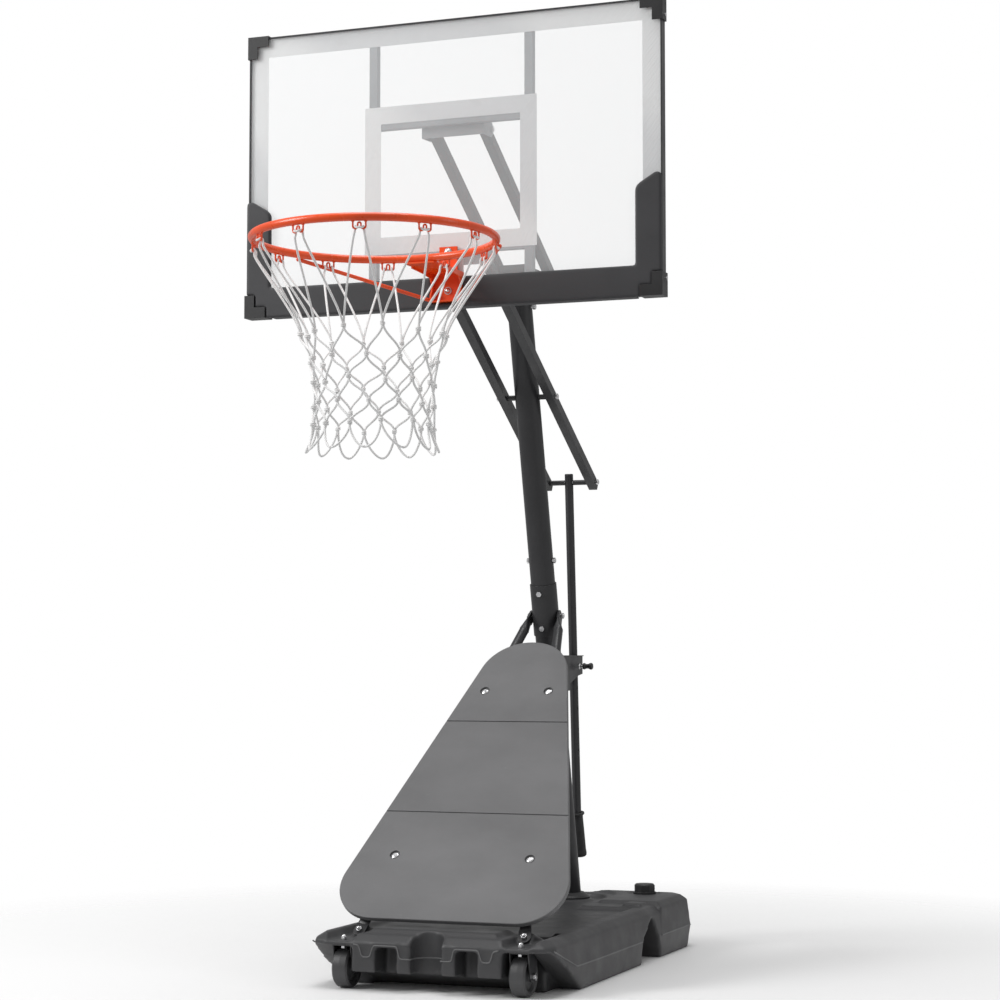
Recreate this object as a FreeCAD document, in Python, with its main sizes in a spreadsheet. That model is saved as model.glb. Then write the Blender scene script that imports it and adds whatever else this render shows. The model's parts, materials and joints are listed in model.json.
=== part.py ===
# Portable basketball hoop with a parallel-arm height adjuster, in millimetres.
# The origin is on the floor in the middle plane, straight under the two lift pivots.
# X runs across the board, -Y towards the player, +Z up.
import FreeCAD, Part
import math
import os
import Sketcher

os.makedirs("parts", exist_ok=True)
doc = FreeCAD.newDocument("basketball_hoop")
sheet = doc.addObject("Spreadsheet::Sheet", "Sizes")
V = FreeCAD.Vector

SIZES = [
    # lift linkage
    ("pivot_low_height", 1262.0), ("pivot_gap", 272.0), ("arm_reach", 483.2), ("arm_tail", 334.0),
    ("arm_tilt", 31.5), ("arm_width", 20.0), ("arm_wall", 1.6), ("arm_centre", 57.0), ("arm_end", 15.0),
    ("pin_radius", 4.0), ("running_gap", 0.05),
    # pole
    ("pole_lean", 13.77), ("pole_radius", 28.0), ("pole_wall", 1.8), ("pole_top", 270.0),
    ("pole_joint", 491.0), ("pole_foot", 1222.0), ("sleeve_start", 432.0), ("sleeve_end", 551.0),
    ("sleeve_radius", 30.6), ("sleeve_bolt_high", 450.0), ("sleeve_bolt_low", 531.0),
    ("stop_bolt", 378.0), ("strut_bolt", 508.0),
    # board
    ("board_face", 472.0), ("board_width", 934.0), ("board_height", 610.0), ("board_low", 1404.5),
    ("panel_thick", 4.0), ("print_thick", 0.4), ("rail_depth", 16.0), ("rail_width", 20.0), ("rail_lip", 3.0),
    ("border_width", 40.0), ("target_width", 389.0), ("target_height", 317.0), ("target_low", 1523.0),
    ("target_band", 37.0), ("bar_width", 18.0), ("bar_spacing", 352.0), ("bar_high", 1801.0), ("bar_low", 1528.0),
    ("ear_thick", 3.0), ("pad_depth", 12.0), ("pad_band", 61.0), ("pad_leg", 56.0), ("pad_peak", 250.0),
    ("cap_arm", 46.0), ("cap_width", 20.0), ("cap_wall", 3.0),
    # rim and net
    ("rim_height", 1483.0), ("rim_radius", 236.5), ("rim_rod", 8.0), ("rim_offset", 381.0),
    ("bracket_half", 34.0), ("hook_rod", 1.75), ("net_top", 1460.0), ("net_waist", 1175.0), ("net_bottom", 1064.0),
    ("net_top_radius", 226.0), ("net_waist_radius", 118.0), ("net_bottom_radius", 132.0), ("net_thick", 6.0),
    # struts and front panel
    ("strut_radius", 11.0), ("strut_slope", 46.26), ("strut_length", 922.0), ("strut_splay", 9.2),
    ("strut_top_x", 34.0), ("tongue_thick", 5.0), ("panel_plate", 10.0), ("panel_gap", 22.0),
    ("panel_top_half", 82.0), ("panel_length", 788.0), ("panel_low_half", 279.0),
    # height rod and its guide
    ("rod_radius", 10.0), ("rod_wall", 1.6), ("rod_length", 778.0), ("rod_lean", 3.836), ("rod_hole_step", 50.0),
    ("guide_y", 314.0), ("guide_z", 652.0), ("grip_length", 104.0), ("grip_bend", 9.0),
    # base tank and wheels
    ("tank_half", 270.0), ("tank_top", 113.0), ("rear_top", 121.0), ("seam_height", 50.0),
    ("wheel_radius", 41.0), ("wheel_width", 34.0), ("wheel_x", 193.0), ("wheel_y", 546.5), ("axle_radius", 5.0),
    ("cap_x", 165.0), ("cap_y", 345.0), ("fill_radius", 14.0),
]
for row, (alias, value) in enumerate(SIZES, start=1):
    sheet.set(f"A{row}", alias)
    sheet.set(f"B{row}", str(value))
    sheet.setAlias(f"B{row}", alias)
doc.recompute()


class Dim:
    """A length that keeps both its number and the spreadsheet expression behind it."""

    def __init__(self, value, text=None):
        self.value = float(value)
        self.text = f"({self.value!r})" if text is None else text

    def join(self, other, sign, value):
        return Dim(value, f"({self.text} {sign} {other.text})")

    def __add__(self, other):
        other = dim(other)
        return self.join(other, "+", self.value + other.value)

    def __sub__(self, other):
        other = dim(other)
        return self.join(other, "-", self.value - other.value)

    def __mul__(self, other):
        other = dim(other)
        return self.join(other, "*", self.value * other.value)

    def __truediv__(self, other):
        other = dim(other)
        return self.join(other, "/", self.value / other.value)

    def __radd__(self, other):
        return dim(other) + self

    def __rsub__(self, other):
        return dim(other) - self

    def __rmul__(self, other):
        return dim(other) * self

    def __neg__(self):
        return dim(0) - self


def dim(value):
    return value if isinstance(value, Dim) else Dim(value)


D = {alias: Dim(value, f"Sizes.{alias}") for alias, value in SIZES}


def trig(angle, which):
    """Sine or cosine of a spreadsheet angle held as a plain number of degrees."""
    func = {"sin": math.sin, "cos": math.cos, "tan": math.tan}[which]
    return Dim(func(math.radians(angle.value)), f"{which}({angle.text} * 1deg)")


def bind(obj, **props):
    for name, value in props.items():
        value = dim(value)
        setattr(obj, name, value.value)
        obj.setExpression(name, value.text)


def place(obj, pos=(0, 0, 0), axis=V(0, 0, 1), angle=0.0, rotation=None):
    turn = rotation if rotation is not None else FreeCAD.Rotation(axis, angle)
    point = [dim(value) for value in pos]
    obj.Placement = FreeCAD.Placement(V(*[value.value for value in point]), turn)
    for letter, value in zip("xyz", point):
        obj.setExpression(f"Placement.Base.{letter}", value.text)
    return obj


def put(obj, placement):
    """Sets a placement made of several moves, in place of a bound position."""
    for letter in "xyz":
        obj.setExpression(f"Placement.Base.{letter}", None)
    obj.Placement = placement
    return obj


def box(x, y, z, pos=(0, 0, 0), axis=V(0, 0, 1), angle=0.0):
    """A box from its low corner at pos."""
    obj = doc.addObject("Part::Box", "Box")
    bind(obj, Length=x, Width=y, Height=z)
    return place(obj, pos, axis, angle)


def span(low, high):
    """A box between two opposite corners."""
    low, high = [dim(v) for v in low], [dim(v) for v in high]
    return box(high[0] - low[0], high[1] - low[1], high[2] - low[2], low)


ALONG_X = FreeCAD.Rotation(V(0, 1, 0), 90)
ALONG_Y = FreeCAD.Rotation(V(1, 0, 0), -90)
ALONG_Z = FreeCAD.Rotation()


def rod(radius, length, pos=(0, 0, 0), turn=ALONG_Z):
    """A cylinder whose first end is centred on pos."""
    obj = doc.addObject("Part::Cylinder", "Rod")
    bind(obj, Radius=radius, Height=length)
    return place(obj, pos, rotation=turn)


def cone(radius1, radius2, length, pos=(0, 0, 0), turn=ALONG_Z):
    obj = doc.addObject("Part::Cone", "Cone")
    bind(obj, Radius1=radius1, Radius2=radius2, Height=length)
    return place(obj, pos, rotation=turn)


def ball(radius, pos):
    obj = doc.addObject("Part::Sphere", "Ball")
    bind(obj, Radius=radius)
    return place(obj, pos)


def prism(corner, length, pos=(0, 0, 0), turn=ALONG_Z, sides=6):
    obj = doc.addObject("Part::Prism", "Prism")
    obj.Polygon = sides
    bind(obj, Circumradius=corner, Height=length)
    return place(obj, pos, rotation=turn)


def fuse(*parts):
    obj = doc.addObject("Part::MultiFuse", "Fuse")
    obj.Shapes = list(parts)
    return obj


def cut(base, *tools):
    for tool in tools:
        obj = doc.addObject("Part::Cut", "Cut")
        obj.Base, obj.Tool = base, tool
        base = obj
    return base


def common(first, second):
    obj = doc.addObject("Part::Common", "Common")
    obj.Base, obj.Tool = first, second
    return obj


def group(*parts):
    """Several separate solids, such as a set of equal bolts, kept in one node."""
    obj = doc.addObject("Part::Compound", "Group")
    obj.Links = list(parts)
    return obj


NODES = []


def node(label, obj):
    """Gives a finished sub-part its name."""
    obj.Label = label
    NODES.append((label, obj))
    return obj


def new_body(name):
    return doc.addObject("PartDesign::Body", name)


def origin_plane(body, role):
    return [item for item in body.Origin.OriginFeatures if item.Role == role][0]


def sketch_on(body, name, role="XY_Plane", offset=0.0):
    sketch = body.newObject("Sketcher::SketchObject", name)
    sketch.AttachmentSupport = [(origin_plane(body, role), "")]
    sketch.MapMode = "FlatFace"
    offset = dim(offset)
    sketch.AttachmentOffset = FreeCAD.Placement(V(0, 0, offset.value), FreeCAD.Rotation())
    sketch.setExpression("AttachmentOffset.Base.z", offset.text)
    return sketch


def draw_polygon(sketch, points):
    """A closed outline with every corner driven by the spreadsheet."""
    points = [(dim(a), dim(b)) for a, b in points]
    count = len(points)
    for i in range(count):
        a, b = points[i], points[(i + 1) % count]
        sketch.addGeometry(Part.LineSegment(V(a[0].value, a[1].value, 0), V(b[0].value, b[1].value, 0)))
    for i in range(count):
        sketch.addConstraint(Sketcher.Constraint("Coincident", i, 2, (i + 1) % count, 1))
    for i, (a, b) in enumerate(points):
        for kind, value in (("DistanceX", a), ("DistanceY", b)):
            index = sketch.addConstraint(Sketcher.Constraint(kind, -1, 1, i, 1, value.value))
            sketch.setExpression(f"Constraints[{index}]", value.text)


def draw_circle(sketch, radius, x=0.0, y=0.0):
    radius, x, y = dim(radius), dim(x), dim(y)
    circle = sketch.addGeometry(Part.Circle(V(x.value, y.value, 0), V(0, 0, 1), radius.value))
    pairs = (("Radius", (circle,), radius), ("DistanceX", (-1, 1, circle, 3), x), ("DistanceY", (-1, 1, circle, 3), y))
    for kind, where, value in pairs:
        index = sketch.addConstraint(Sketcher.Constraint(kind, *where, value.value))
        sketch.setExpression(f"Constraints[{index}]", value.text)


def pad(body, sketch, length, midplane=False, reverse=False):
    feature = body.newObject("PartDesign::Pad", "Pad")
    feature.Profile = sketch
    if midplane:
        feature.SideType = "Symmetric"
    feature.Reversed = reverse
    bind(feature, Length=length)
    return feature


def polygon_body(name, points, length, role="XY_Plane", midplane=False, reverse=False, offset=0.0):
    """A body that is one outline given a thickness."""
    body = new_body(name)
    sketch = sketch_on(body, name + "_outline", role, offset)
    draw_polygon(sketch, points)
    pad(body, sketch, length, midplane, reverse)
    return body


def loft_body(name, sections, role="XY_Plane"):
    """A body that passes through outlines at several heights, all with the same corner count."""
    body = new_body(name)
    sketches = []
    for number, (height, points) in enumerate(sections):
        sketch = sketch_on(body, f"{name}_{number}", role, height)
        draw_polygon(sketch, points)
        sketches.append(sketch)
    loft = body.newObject("PartDesign::AdditiveLoft", "Loft")
    loft.Profile = sketches[0]
    loft.Sections = sketches[1:]
    loft.Ruled = True
    return body


def turned_body(name, points):
    """A body turned about its own Z axis from an outline in the XZ plane."""
    body = new_body(name)
    sketch = sketch_on(body, name + "_outline", "XZ_Plane")
    draw_polygon(sketch, points)
    feature = body.newObject("PartDesign::Revolution", "Turn")
    feature.Profile = sketch
    feature.ReferenceAxis = (sketch, ["V_Axis"])
    feature.Angle = 360
    return body


def round_edges(body, chooser, radius, kind="PartDesign::Fillet"):
    """Rounds or bevels the edges of a body that the chooser accepts."""
    doc.recompute()
    tip = body.Tip
    names = [f"Edge{i + 1}" for i, edge in enumerate(tip.Shape.Edges) if chooser(edge)]
    feature = body.newObject(kind, "Round")
    feature.Base = (tip, names)
    if kind.endswith("Fillet"):
        bind(feature, Radius=radius)
    else:
        bind(feature, Size=radius)
    doc.recompute()
    return body


def middle(edge):
    return edge.valueAt((edge.FirstParameter + edge.LastParameter) / 2)


def mirror_x(obj):
    """The same piece on the other side of the middle plane."""
    copy = doc.addObject("Part::Mirroring", "Mirror")
    copy.Source = obj
    copy.Normal = V(1, 0, 0)
    return copy


# Lift geometry shared by several pieces.
sin_a, cos_a = trig(D["arm_tilt"], "sin"), trig(D["arm_tilt"], "cos")
low_z, high_z = D["pivot_low_height"], D["pivot_low_height"] + D["pivot_gap"]
front_y, front_rise = -(D["arm_reach"] * cos_a), D["arm_reach"] * sin_a
tail_y, tail_z = D["arm_tail"] * cos_a, low_z - D["arm_tail"] * sin_a
pin = D["pin_radius"]
hole = pin + D["running_gap"]
arm_x = D["arm_centre"]
arm_in, arm_out = arm_x - D["arm_width"] / 2, arm_x + D["arm_width"] / 2
board_y = -D["board_face"]


def hex_bolt(half, pos, turn, radius=None, head=6.5, dome=False):
    """A bolt centred on pos along its turned Z axis, with a head and a nut outside +-half."""
    radius = pin if radius is None else radius
    half = dim(half)
    local = [rod(radius, half * 2 + 12.0, (0, 0, -half - 5.0))]
    local.append(prism(head, 4.5, (0, 0, -half - 5.0)))
    local.append(prism(head, 5.5, (0, 0, half + 0.5)))
    if dome:
        local.append(ball(head * 0.72, (0, 0, half + 6.0)))
    return place(fuse(*local), pos, rotation=turn)


def ring_tube(outer, inner, length, pos, turn):
    length = dim(length)
    bore = rod(inner, length + 2.0, (0, 0, -1))
    return place(cut(rod(outer, length), bore), pos, rotation=turn)


# ---------------------------------------------------------------- pole
pole_turn = FreeCAD.Rotation(V(1, 0, 0), D["pole_lean"].value)
sin_p, cos_p = trig(D["pole_lean"], "sin"), trig(D["pole_lean"], "cos")


def on_pole(down):
    """The point on the pole's axis this far below the lift pivot, measured along the pole."""
    down = dim(down)
    return (0, down * sin_p, low_z - down * cos_p)


def pole_tube(label, outer, inner, start, end, cross=(), through=()):
    """A piece of pole from start to end below the pivot, with its bolt holes."""
    start, end = dim(start), dim(end)
    tube = cut(rod(outer, end - start, (0, 0, -end)), rod(inner, end - start + 2.0, (0, 0, -end - 1.0)))
    tools = [rod(hole, 90, (-45, 0, -dim(s)), ALONG_X) for s in cross]
    tools += [rod(hole, 90, (0, -45, -dim(s)), ALONG_Y) for s in through]
    if tools:
        tube = cut(tube, *tools)
    return node(label, place(tube, (0, 0, low_z), rotation=pole_turn))


r_pole = D["pole_radius"]
pole_tube("pole_upper", r_pole, r_pole - D["pole_wall"], -D["pole_top"], D["pole_joint"],
          cross=(0.0, D["stop_bolt"], -205.0, -250.0), through=(D["sleeve_bolt_high"],))
pole_tube("pole_lower", r_pole, r_pole - D["pole_wall"], D["pole_joint"] + 1.0, D["pole_foot"],
          cross=(D["strut_bolt"], 640.0, 680.0), through=(D["sleeve_bolt_low"],))
pole_tube("pole_sleeve", D["sleeve_radius"], r_pole + 0.3, D["sleeve_start"], D["sleeve_end"],
          cross=(D["strut_bolt"],), through=(D["sleeve_bolt_high"], D["sleeve_bolt_low"]))

top_plug = turned_body("pole_top_plug", [(0, -11), (r_pole - 2.2, -11), (r_pole - 2.0, 0), (r_pole, 0),
                                         (r_pole, 3), (r_pole - 2, 6), (0, 7)])
top_plug.Label = "pole_top_plug"
point = on_pole(-D["pole_top"])
NODES.append(("pole_top_plug", place(top_plug, point, rotation=pole_turn)))

sleeve_bolts = []
for down in (D["sleeve_bolt_high"], D["sleeve_bolt_low"]):
    turn = pole_turn * FreeCAD.Rotation(V(1, 0, 0), -90)
    sleeve_bolts.append(hex_bolt(D["sleeve_radius"], on_pole(down), turn))
node("sleeve_bolts", group(*sleeve_bolts))
cross_bolts = [hex_bolt(r_pole + 0.5, on_pole(D["stop_bolt"]), ALONG_X),
               hex_bolt(D["strut_top_x"] + D["tongue_thick"] / 2 + 1.2, on_pole(D["strut_bolt"]), ALONG_X)]

# Saddle at the pole's head: it wraps the pole's front and carries the upper pivot behind the pole.
saddle_in = r_pole + 0.2
saddle_out = saddle_in + 3.5
saddle_low, saddle_high = high_z - 52.0, high_z + 16.0
saddle = span((-saddle_out, -102, saddle_low), (saddle_out, 17, saddle_high))
saddle_gap = span((-saddle_in, -98.5, saddle_low - 5), (saddle_in, 30, saddle_high + 5))
saddle_nose = box(80, 80, 60, (-40, -28, saddle_low - 56), V(1, 0, 0), 35)
head_holes = [rod(hole, 90, (-45, 0, high_z), ALONG_X)]
for down in (-205.0, -250.0):
    head_point = on_pole(down)
    head_holes.append(rod(hole, 90, (-45, head_point[1], head_point[2]), ALONG_X))
node("pole_head_saddle", cut(saddle, saddle_gap, saddle_nose, *head_holes))
cross_bolts += [hex_bolt(saddle_out, on_pole(down), ALONG_X) for down in (-205.0, -250.0)]

# ---------------------------------------------------------------- lift pivots fixed to the pole
arm_bolt_half = arm_out + 0.5
spacers = []
for side in (-1, 1):
    length = arm_in - r_pole - 0.8
    start = (r_pole + 0.4) if side > 0 else -(arm_in - 0.4)
    spacers.append(ring_tube(6.0, pin + 0.2, length, (start, 0, low_z), ALONG_X))
spacers += [ring_tube(6.0, pin + 0.2, saddle_in * 2 - 0.4, (-saddle_in + 0.2, 0, high_z), ALONG_X)]
for side in (-1, 1):
    length = arm_in - saddle_out - 0.6
    start = (saddle_out + 0.2) if side > 0 else -(arm_in - 0.4)
    spacers.append(ring_tube(6.0, pin + 0.2, length, (start, 0, high_z), ALONG_X))
node("pole_pivot_spacers", group(*spacers))
node("pole_pivot_bolts", group(*[hex_bolt(arm_bolt_half, (0, 0, z), ALONG_X) for z in (low_z, high_z)]))


# ---------------------------------------------------------------- lift arms
def arm(label, side, pivot_z, tail):
    """A square tube along its own Y axis, turned about the pole pivot; front end at -Y."""
    reach, end, w = D["arm_reach"], D["arm_end"], D["arm_width"]
    back = dim(tail) + end
    solid = span((-(w / 2), -(reach + end), -(w / 2)), (w / 2, back, w / 2))
    t = D["arm_wall"]
    bore = span((-(w / 2 - t), -(reach + end + 1), -(w / 2 - t)), (w / 2 - t, back + 1, w / 2 - t))
    places = [-reach, dim(0)] + ([dim(tail)] if dim(tail).value > 1 else [])
    drills = [rod(hole, w + 4, (-(w / 2 + 2), y, 0), ALONG_X) for y in places]
    tube = cut(solid, bore, *drills)
    turn = FreeCAD.Rotation(V(1, 0, 0), -D["arm_tilt"].value)
    return node(label, place(tube, (arm_x * side, 0, pivot_z), rotation=turn))


for side, name in ((-1, "left"), (1, "right")):
    arm(f"lower_arm_{name}", side, low_z, D["arm_tail"])
    arm(f"upper_arm_{name}", side, high_z, 0.0)

arm_turn = FreeCAD.Rotation(V(1, 0, 0), -D["arm_tilt"].value)


def end_plug(y, facing, pivot_z, side):
    """A moulded plug pushed into an arm's open end."""
    w, t = D["arm_width"], D["arm_wall"]
    half = w / 2 - t - 0.1
    lid = 2.5
    y = dim(y)
    if facing > 0:
        parts = fuse(span((-half, y - 9, -half), (half, y, half)), span((-(w / 2), y, -(w / 2)), (w / 2, y + lid, w / 2)))
    else:
        parts = fuse(span((-half, y, -half), (half, y + 9, half)), span((-(w / 2), y - lid, -(w / 2)), (w / 2, y, w / 2)))
    return place(parts, (arm_x * side, 0, pivot_z), rotation=arm_turn)


front_end, tail_end = -(D["arm_reach"] + D["arm_end"]), D["arm_tail"] + D["arm_end"]
node("lower_arm_plugs", group(*[end_plug(y, f, low_z, s) for s in (-1, 1) for y, f in ((front_end, -1), (tail_end, 1))]))
node("upper_arm_plugs",
     group(*[end_plug(y, f, high_z, s) for s in (-1, 1) for y, f in ((front_end, -1), (D["arm_end"], 1))]))

# Rear cross pin of the lower arms, which carries the height rod between two spacers.
node("tail_bolt", hex_bolt(arm_out + 0.3, (0, tail_y, tail_z), ALONG_X))
spacers = []
for side in (-1, 1):
    length = arm_in - D["rod_radius"] - 0.9
    start = (D["rod_radius"] + 0.5) if side > 0 else -(arm_in - 0.4)
    spacers.append(ring_tube(6.0, pin + 0.2, length, (start, tail_y, tail_z), ALONG_X))
node("tail_spacers", group(*spacers))

# ---------------------------------------------------------------- height rod, grip, guide and pull pin
rod_turn = FreeCAD.Rotation(V(1, 0, 0), D["rod_lean"].value)
r_rod = D["rod_radius"]
bend_turn = FreeCAD.Rotation(V(1, 0, 0), D["grip_bend"].value)
length = D["rod_length"]
stub = 112.0
outer = fuse(rod(r_rod, length + 18, (0, 0, -length)), ball(r_rod, (0, 0, -length)),
             rod(r_rod, stub))
bend_place = FreeCAD.Placement(V(0, 0, -length.value), bend_turn)
put(outer.Shapes[2], bend_place * FreeCAD.Placement(V(0, 0, -stub), ALONG_Z))
r_bore = r_rod - D["rod_wall"]
inner = fuse(rod(r_bore, length + 20, (0, 0, -length)), ball(r_bore, (0, 0, -length)),
             rod(r_bore, stub + 2, (0, 0, -length)))
put(inner.Shapes[2], bend_place * FreeCAD.Placement(V(0, 0, -stub - 2), ALONG_Z))
guide_reach = math.hypot(D["guide_y"].value - tail_y.value, tail_z.value - D["guide_z"].value)
drills = [rod(hole, 40, (-20, 0, 0), ALONG_X)]
for step in range(5):
    drills.append(rod(4.4, 40, (-20, 0, -(guide_reach + D["rod_hole_step"] * step)), ALONG_X))
height_rod = cut(outer, inner, *drills)
node("height_rod", place(height_rod, (0, tail_y, tail_z), rotation=rod_turn))
rod_plug = turned_body("rod_top_plug", [(0, -8), (r_bore - 0.1, -8), (r_bore - 0.1, 0), (r_rod, 0), (r_rod, 1.5),
                                        (r_rod - 1.5, 3), (0, 3)])
plug_pos = (0, tail_y - 18 * trig(D["rod_lean"], "sin"), tail_z + 18 * trig(D["rod_lean"], "cos"))
rod_plug.Label = "rod_top_plug"
NODES.append(("rod_top_plug", place(rod_plug, plug_pos, rotation=rod_turn)))

g = D["grip_length"]
grip = turned_body("hand_grip", [(r_rod + 0.2, 0), (16.5, 0), (17, -1), (17, -4), (16, -5), (13.2, -7), (13.0, -14),
                                 (13.6, -40), (14.4, -g + 14), (15.4, -g + 5), (15.0, -g), (12.5, -g - 3),
                                 (r_rod + 0.2, -g - 3)])
grip_axis = FreeCAD.Rotation(V(1, 0, 0), D["rod_lean"].value + D["grip_bend"].value)
grip_down = length + 6.0
grip_pos = (0, tail_y + length * trig(D["rod_lean"], "sin") + 6 * trig(D["rod_lean"] + D["grip_bend"], "sin"),
            tail_z - length * trig(D["rod_lean"], "cos") - 6 * trig(D["rod_lean"] + D["grip_bend"], "cos"))
grip.Label = "hand_grip"
NODES.append(("hand_grip", place(grip, grip_pos, rotation=grip_axis)))

# Guide: a bent strap from the pole's sides that wraps behind the rod, with a lipped top edge.
gx = D["rod_radius"] + 0.6
gy, gz = D["guide_y"], D["guide_z"]
strap = 2.4
pole_at_guide = (low_z - gz) * trig(D["pole_lean"], "tan")
strap_high, strap_low = gz + 24, gz - 56
guide_back = gy + 24 + gx
step_y = pole_at_guide + 46
cheek_in, cheek_out = r_pole + 0.3, r_pole + 3.3


def guide_plan(extra):
    """Half of the strap's plan from the pole to the rod's rear, with its outside moved out by extra."""
    out = strap + extra
    outer = [(cheek_out + extra, pole_at_guide - 26), (cheek_out + extra, step_y + 3.0 + extra),
             (gx + out, step_y + 3.0 + extra), (gx + out, guide_back + out)]
    inner = [(gx, guide_back), (gx, step_y), (cheek_in, step_y), (cheek_in, pole_at_guide - 26)]
    left = [(-x, y) for x, y in outer[::-1]] + [(-x, y) for x, y in inner[::-1]]
    return outer + left + inner


def rear_corner(edge):
    return abs(edge.tangentAt(edge.FirstParameter).z) > 0.9 and middle(edge).y > guide_back.value - 1


strap_body = polygon_body("guide_strap", guide_plan(0.0), strap_high - strap_low, offset=strap_low)
lip_body = polygon_body("guide_lip", guide_plan(2.0), 2.0, offset=strap_high)
for guide_part in (strap_body, lip_body):
    round_edges(guide_part, rear_corner, gx.value - 0.6)
side_shape = polygon_body("guide_side", [
    (pole_at_guide - 30, strap_low), (step_y + 4, strap_low), (gy - 2, gz - 22), (guide_back + 10, gz - 16),
    (guide_back + 10, strap_high + 5), (pole_at_guide - 30, strap_high + 5)], 90, "YZ_Plane", midplane=True)
guide_tools = [rod(3.6, 60, (0, gy, gz), ALONG_X)]
for down in (640.0, 680.0):
    cheek_point = on_pole(down)
    guide_tools.append(rod(hole, 90, (-45, cheek_point[1], cheek_point[2]), ALONG_X))
node("rod_guide", cut(common(fuse(strap_body, lip_body), side_shape), *guide_tools))
cross_bolts += [hex_bolt(cheek_out + 0.1, on_pole(down), ALONG_X) for down in (640.0, 680.0)]
node("pole_cross_bolts", group(*cross_bolts))

pin_face = gx + strap
collar = cut(prism(7.5, 3.2, (pin_face, gy, gz), ALONG_X), rod(3.6, 20, (pin_face - 5, gy, gz), ALONG_X))
node("pin_collar", collar)
pin_body = fuse(rod(3.5, 20.4, (gx + 1.4, gy, gz), ALONG_X), cone(2.3, 3.5, 1.6, (gx - 0.2, gy, gz), ALONG_X))
node("pull_pin", pin_body)
knob = turned_body("pin_knob", [(3.5, 0), (6.5, 0), (7.6, 1), (7.6, 4), (6.2, 6), (5.4, 10), (6.0, 14), (7.8, 17),
                                (8.2, 19), (7.8, 21.5), (6.5, 23), (0, 23), (0, 8.2), (3.5, 8.2)])
knob.Label = "pin_knob"
NODES.append(("pin_knob", place(knob, (gx + 14.0, gy, gz), rotation=ALONG_X)))

# ---------------------------------------------------------------- struts
strut_point = on_pole(D["strut_bolt"])


def ring_points(half_x, half_y):
    """Sixteen corners of a rounded section."""
    half_x, half_y = dim(half_x), dim(half_y)
    shape = []
    for i in range(16):
        angle = math.radians(22.5 * i + 11.25)
        c, s = math.cos(angle), math.sin(angle)
        power = 0.75
        shape.append((half_x * (abs(c) ** power * (1 if c > 0 else -1)), half_y * (abs(s) ** power * (1 if s > 0 else -1))))
    return shape


def make_strut(label, side):
    r, t, full = D["strut_radius"], D["tongue_thick"], D["strut_length"]
    wide = r * 1.2
    tube = rod(r, full - 92, (0, 0, 46))
    top_neck = loft_body(label + "_top_neck", [(full - 46.5, ring_points(r * 0.985, r * 0.985)),
                                               (full - 16, ring_points(t / 2, wide))])
    foot_neck = loft_body(label + "_foot_neck", [(16, ring_points(wide, t / 2)),
                                                 (46.5, ring_points(r * 0.985, r * 0.985))])
    top_tongue = fuse(span((-(t / 2), -wide, full - 17), (t / 2, wide, full)), rod(wide, t, (-(t / 2), 0, full), ALONG_X))
    foot_tongue = fuse(span((-wide, -(t / 2), 0), (wide, t / 2, 17)), rod(wide, t, (0, -(t / 2), 0), ALONG_Y))
    drill_top = rod(hole + 0.7, 40, (-20, 0, full), ALONG_X)
    drill_foot = rod(hole, 40, (0, -20, 0), ALONG_Y)
    screws = [rod(3.1, 60, (0, -30, full - dim(w) / splay_cos), ALONG_Y) for w in SCREW_ROWS]
    solid = cut(fuse(tube, top_neck, foot_neck, top_tongue, foot_tongue), drill_top, drill_foot, *screws)
    return solid


# Rows of panel screws, as distances down the slope from the struts' top bolt.
SCREW_ROWS = (255.5, 726.5)
# The strut leans forward by the slope and splays outwards.
sin_s, cos_s = trig(D["strut_slope"], "sin"), trig(D["strut_slope"], "cos")
splay_sin, splay_cos = trig(D["strut_splay"], "sin"), trig(D["strut_splay"], "cos")
for side, name in ((-1, "left"), (1, "right")):
    splay = FreeCAD.Rotation(V(0, 1, 0), -side * D["strut_splay"].value)
    turn = FreeCAD.Rotation(V(1, 0, 0), -(90 - D["strut_slope"].value)) * splay
    foot = ((D["strut_top_x"] + D["strut_length"] * splay_sin) * side,
            strut_point[1] - D["strut_length"] * splay_cos * cos_s,
            strut_point[2] - D["strut_length"] * splay_cos * sin_s)
    # The tongue is eased where it lies against the round sleeve.
    ease = place(rod(D["sleeve_radius"] + 0.3, 160, (0, 0, 0)), on_pole(D["strut_bolt"] + 80), rotation=pole_turn)
    node(f"strut_{name}", cut(place(make_strut(f"strut_{name}", side), foot, rotation=turn), ease))
foot_point = foot

# ---------------------------------------------------------------- front panel
# Its own frame: X across, Y down the slope from the bolt row at the top, Z out of the front face.
front_offset = D["panel_gap"]
panel = new_body("front_panel")
outline = sketch_on(panel, "front_panel_outline")
top_half, low_half, tall = D["panel_top_half"], D["panel_low_half"], D["panel_length"]
draw_polygon(outline, [(-top_half, 0), (-low_half, -tall), (low_half, -tall), (top_half, 0)])
pad(panel, outline, D["panel_plate"], reverse=True)
round_edges(panel, lambda e: abs(middle(e).y) < 0.01 and abs(e.tangentAt(e.FirstParameter).z) > 0.9, 102.0)
round_edges(panel, lambda e: abs(middle(e).y + tall.value) < 0.01 and abs(e.tangentAt(e.FirstParameter).z) > 0.9, 95.0)
round_edges(panel, lambda e: abs(middle(e).z) < 0.01, 2.0)
grooves = sketch_on(panel, "groove_lines")
count = 0
for down in (241.0, 502.0):
    for a, b in (((-300, -down), (300, -down)), ((300, -down), (300, -down - 3)), ((300, -down - 3), (-300, -down - 3)),
                 ((-300, -down - 3), (-300, -down))):
        grooves.addGeometry(Part.LineSegment(V(a[0], a[1], 0), V(b[0], b[1], 0)))
        grooves.addConstraint(Sketcher.Constraint("Block", count))
        count += 1
groove_cut = panel.newObject("PartDesign::Pocket", "Grooves")
groove_cut.Profile = grooves
groove_cut.Length = 2.0
doc.recompute()
PANEL_RISE = 150.5
splay_tan = trig(D["strut_splay"], "tan")
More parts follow.
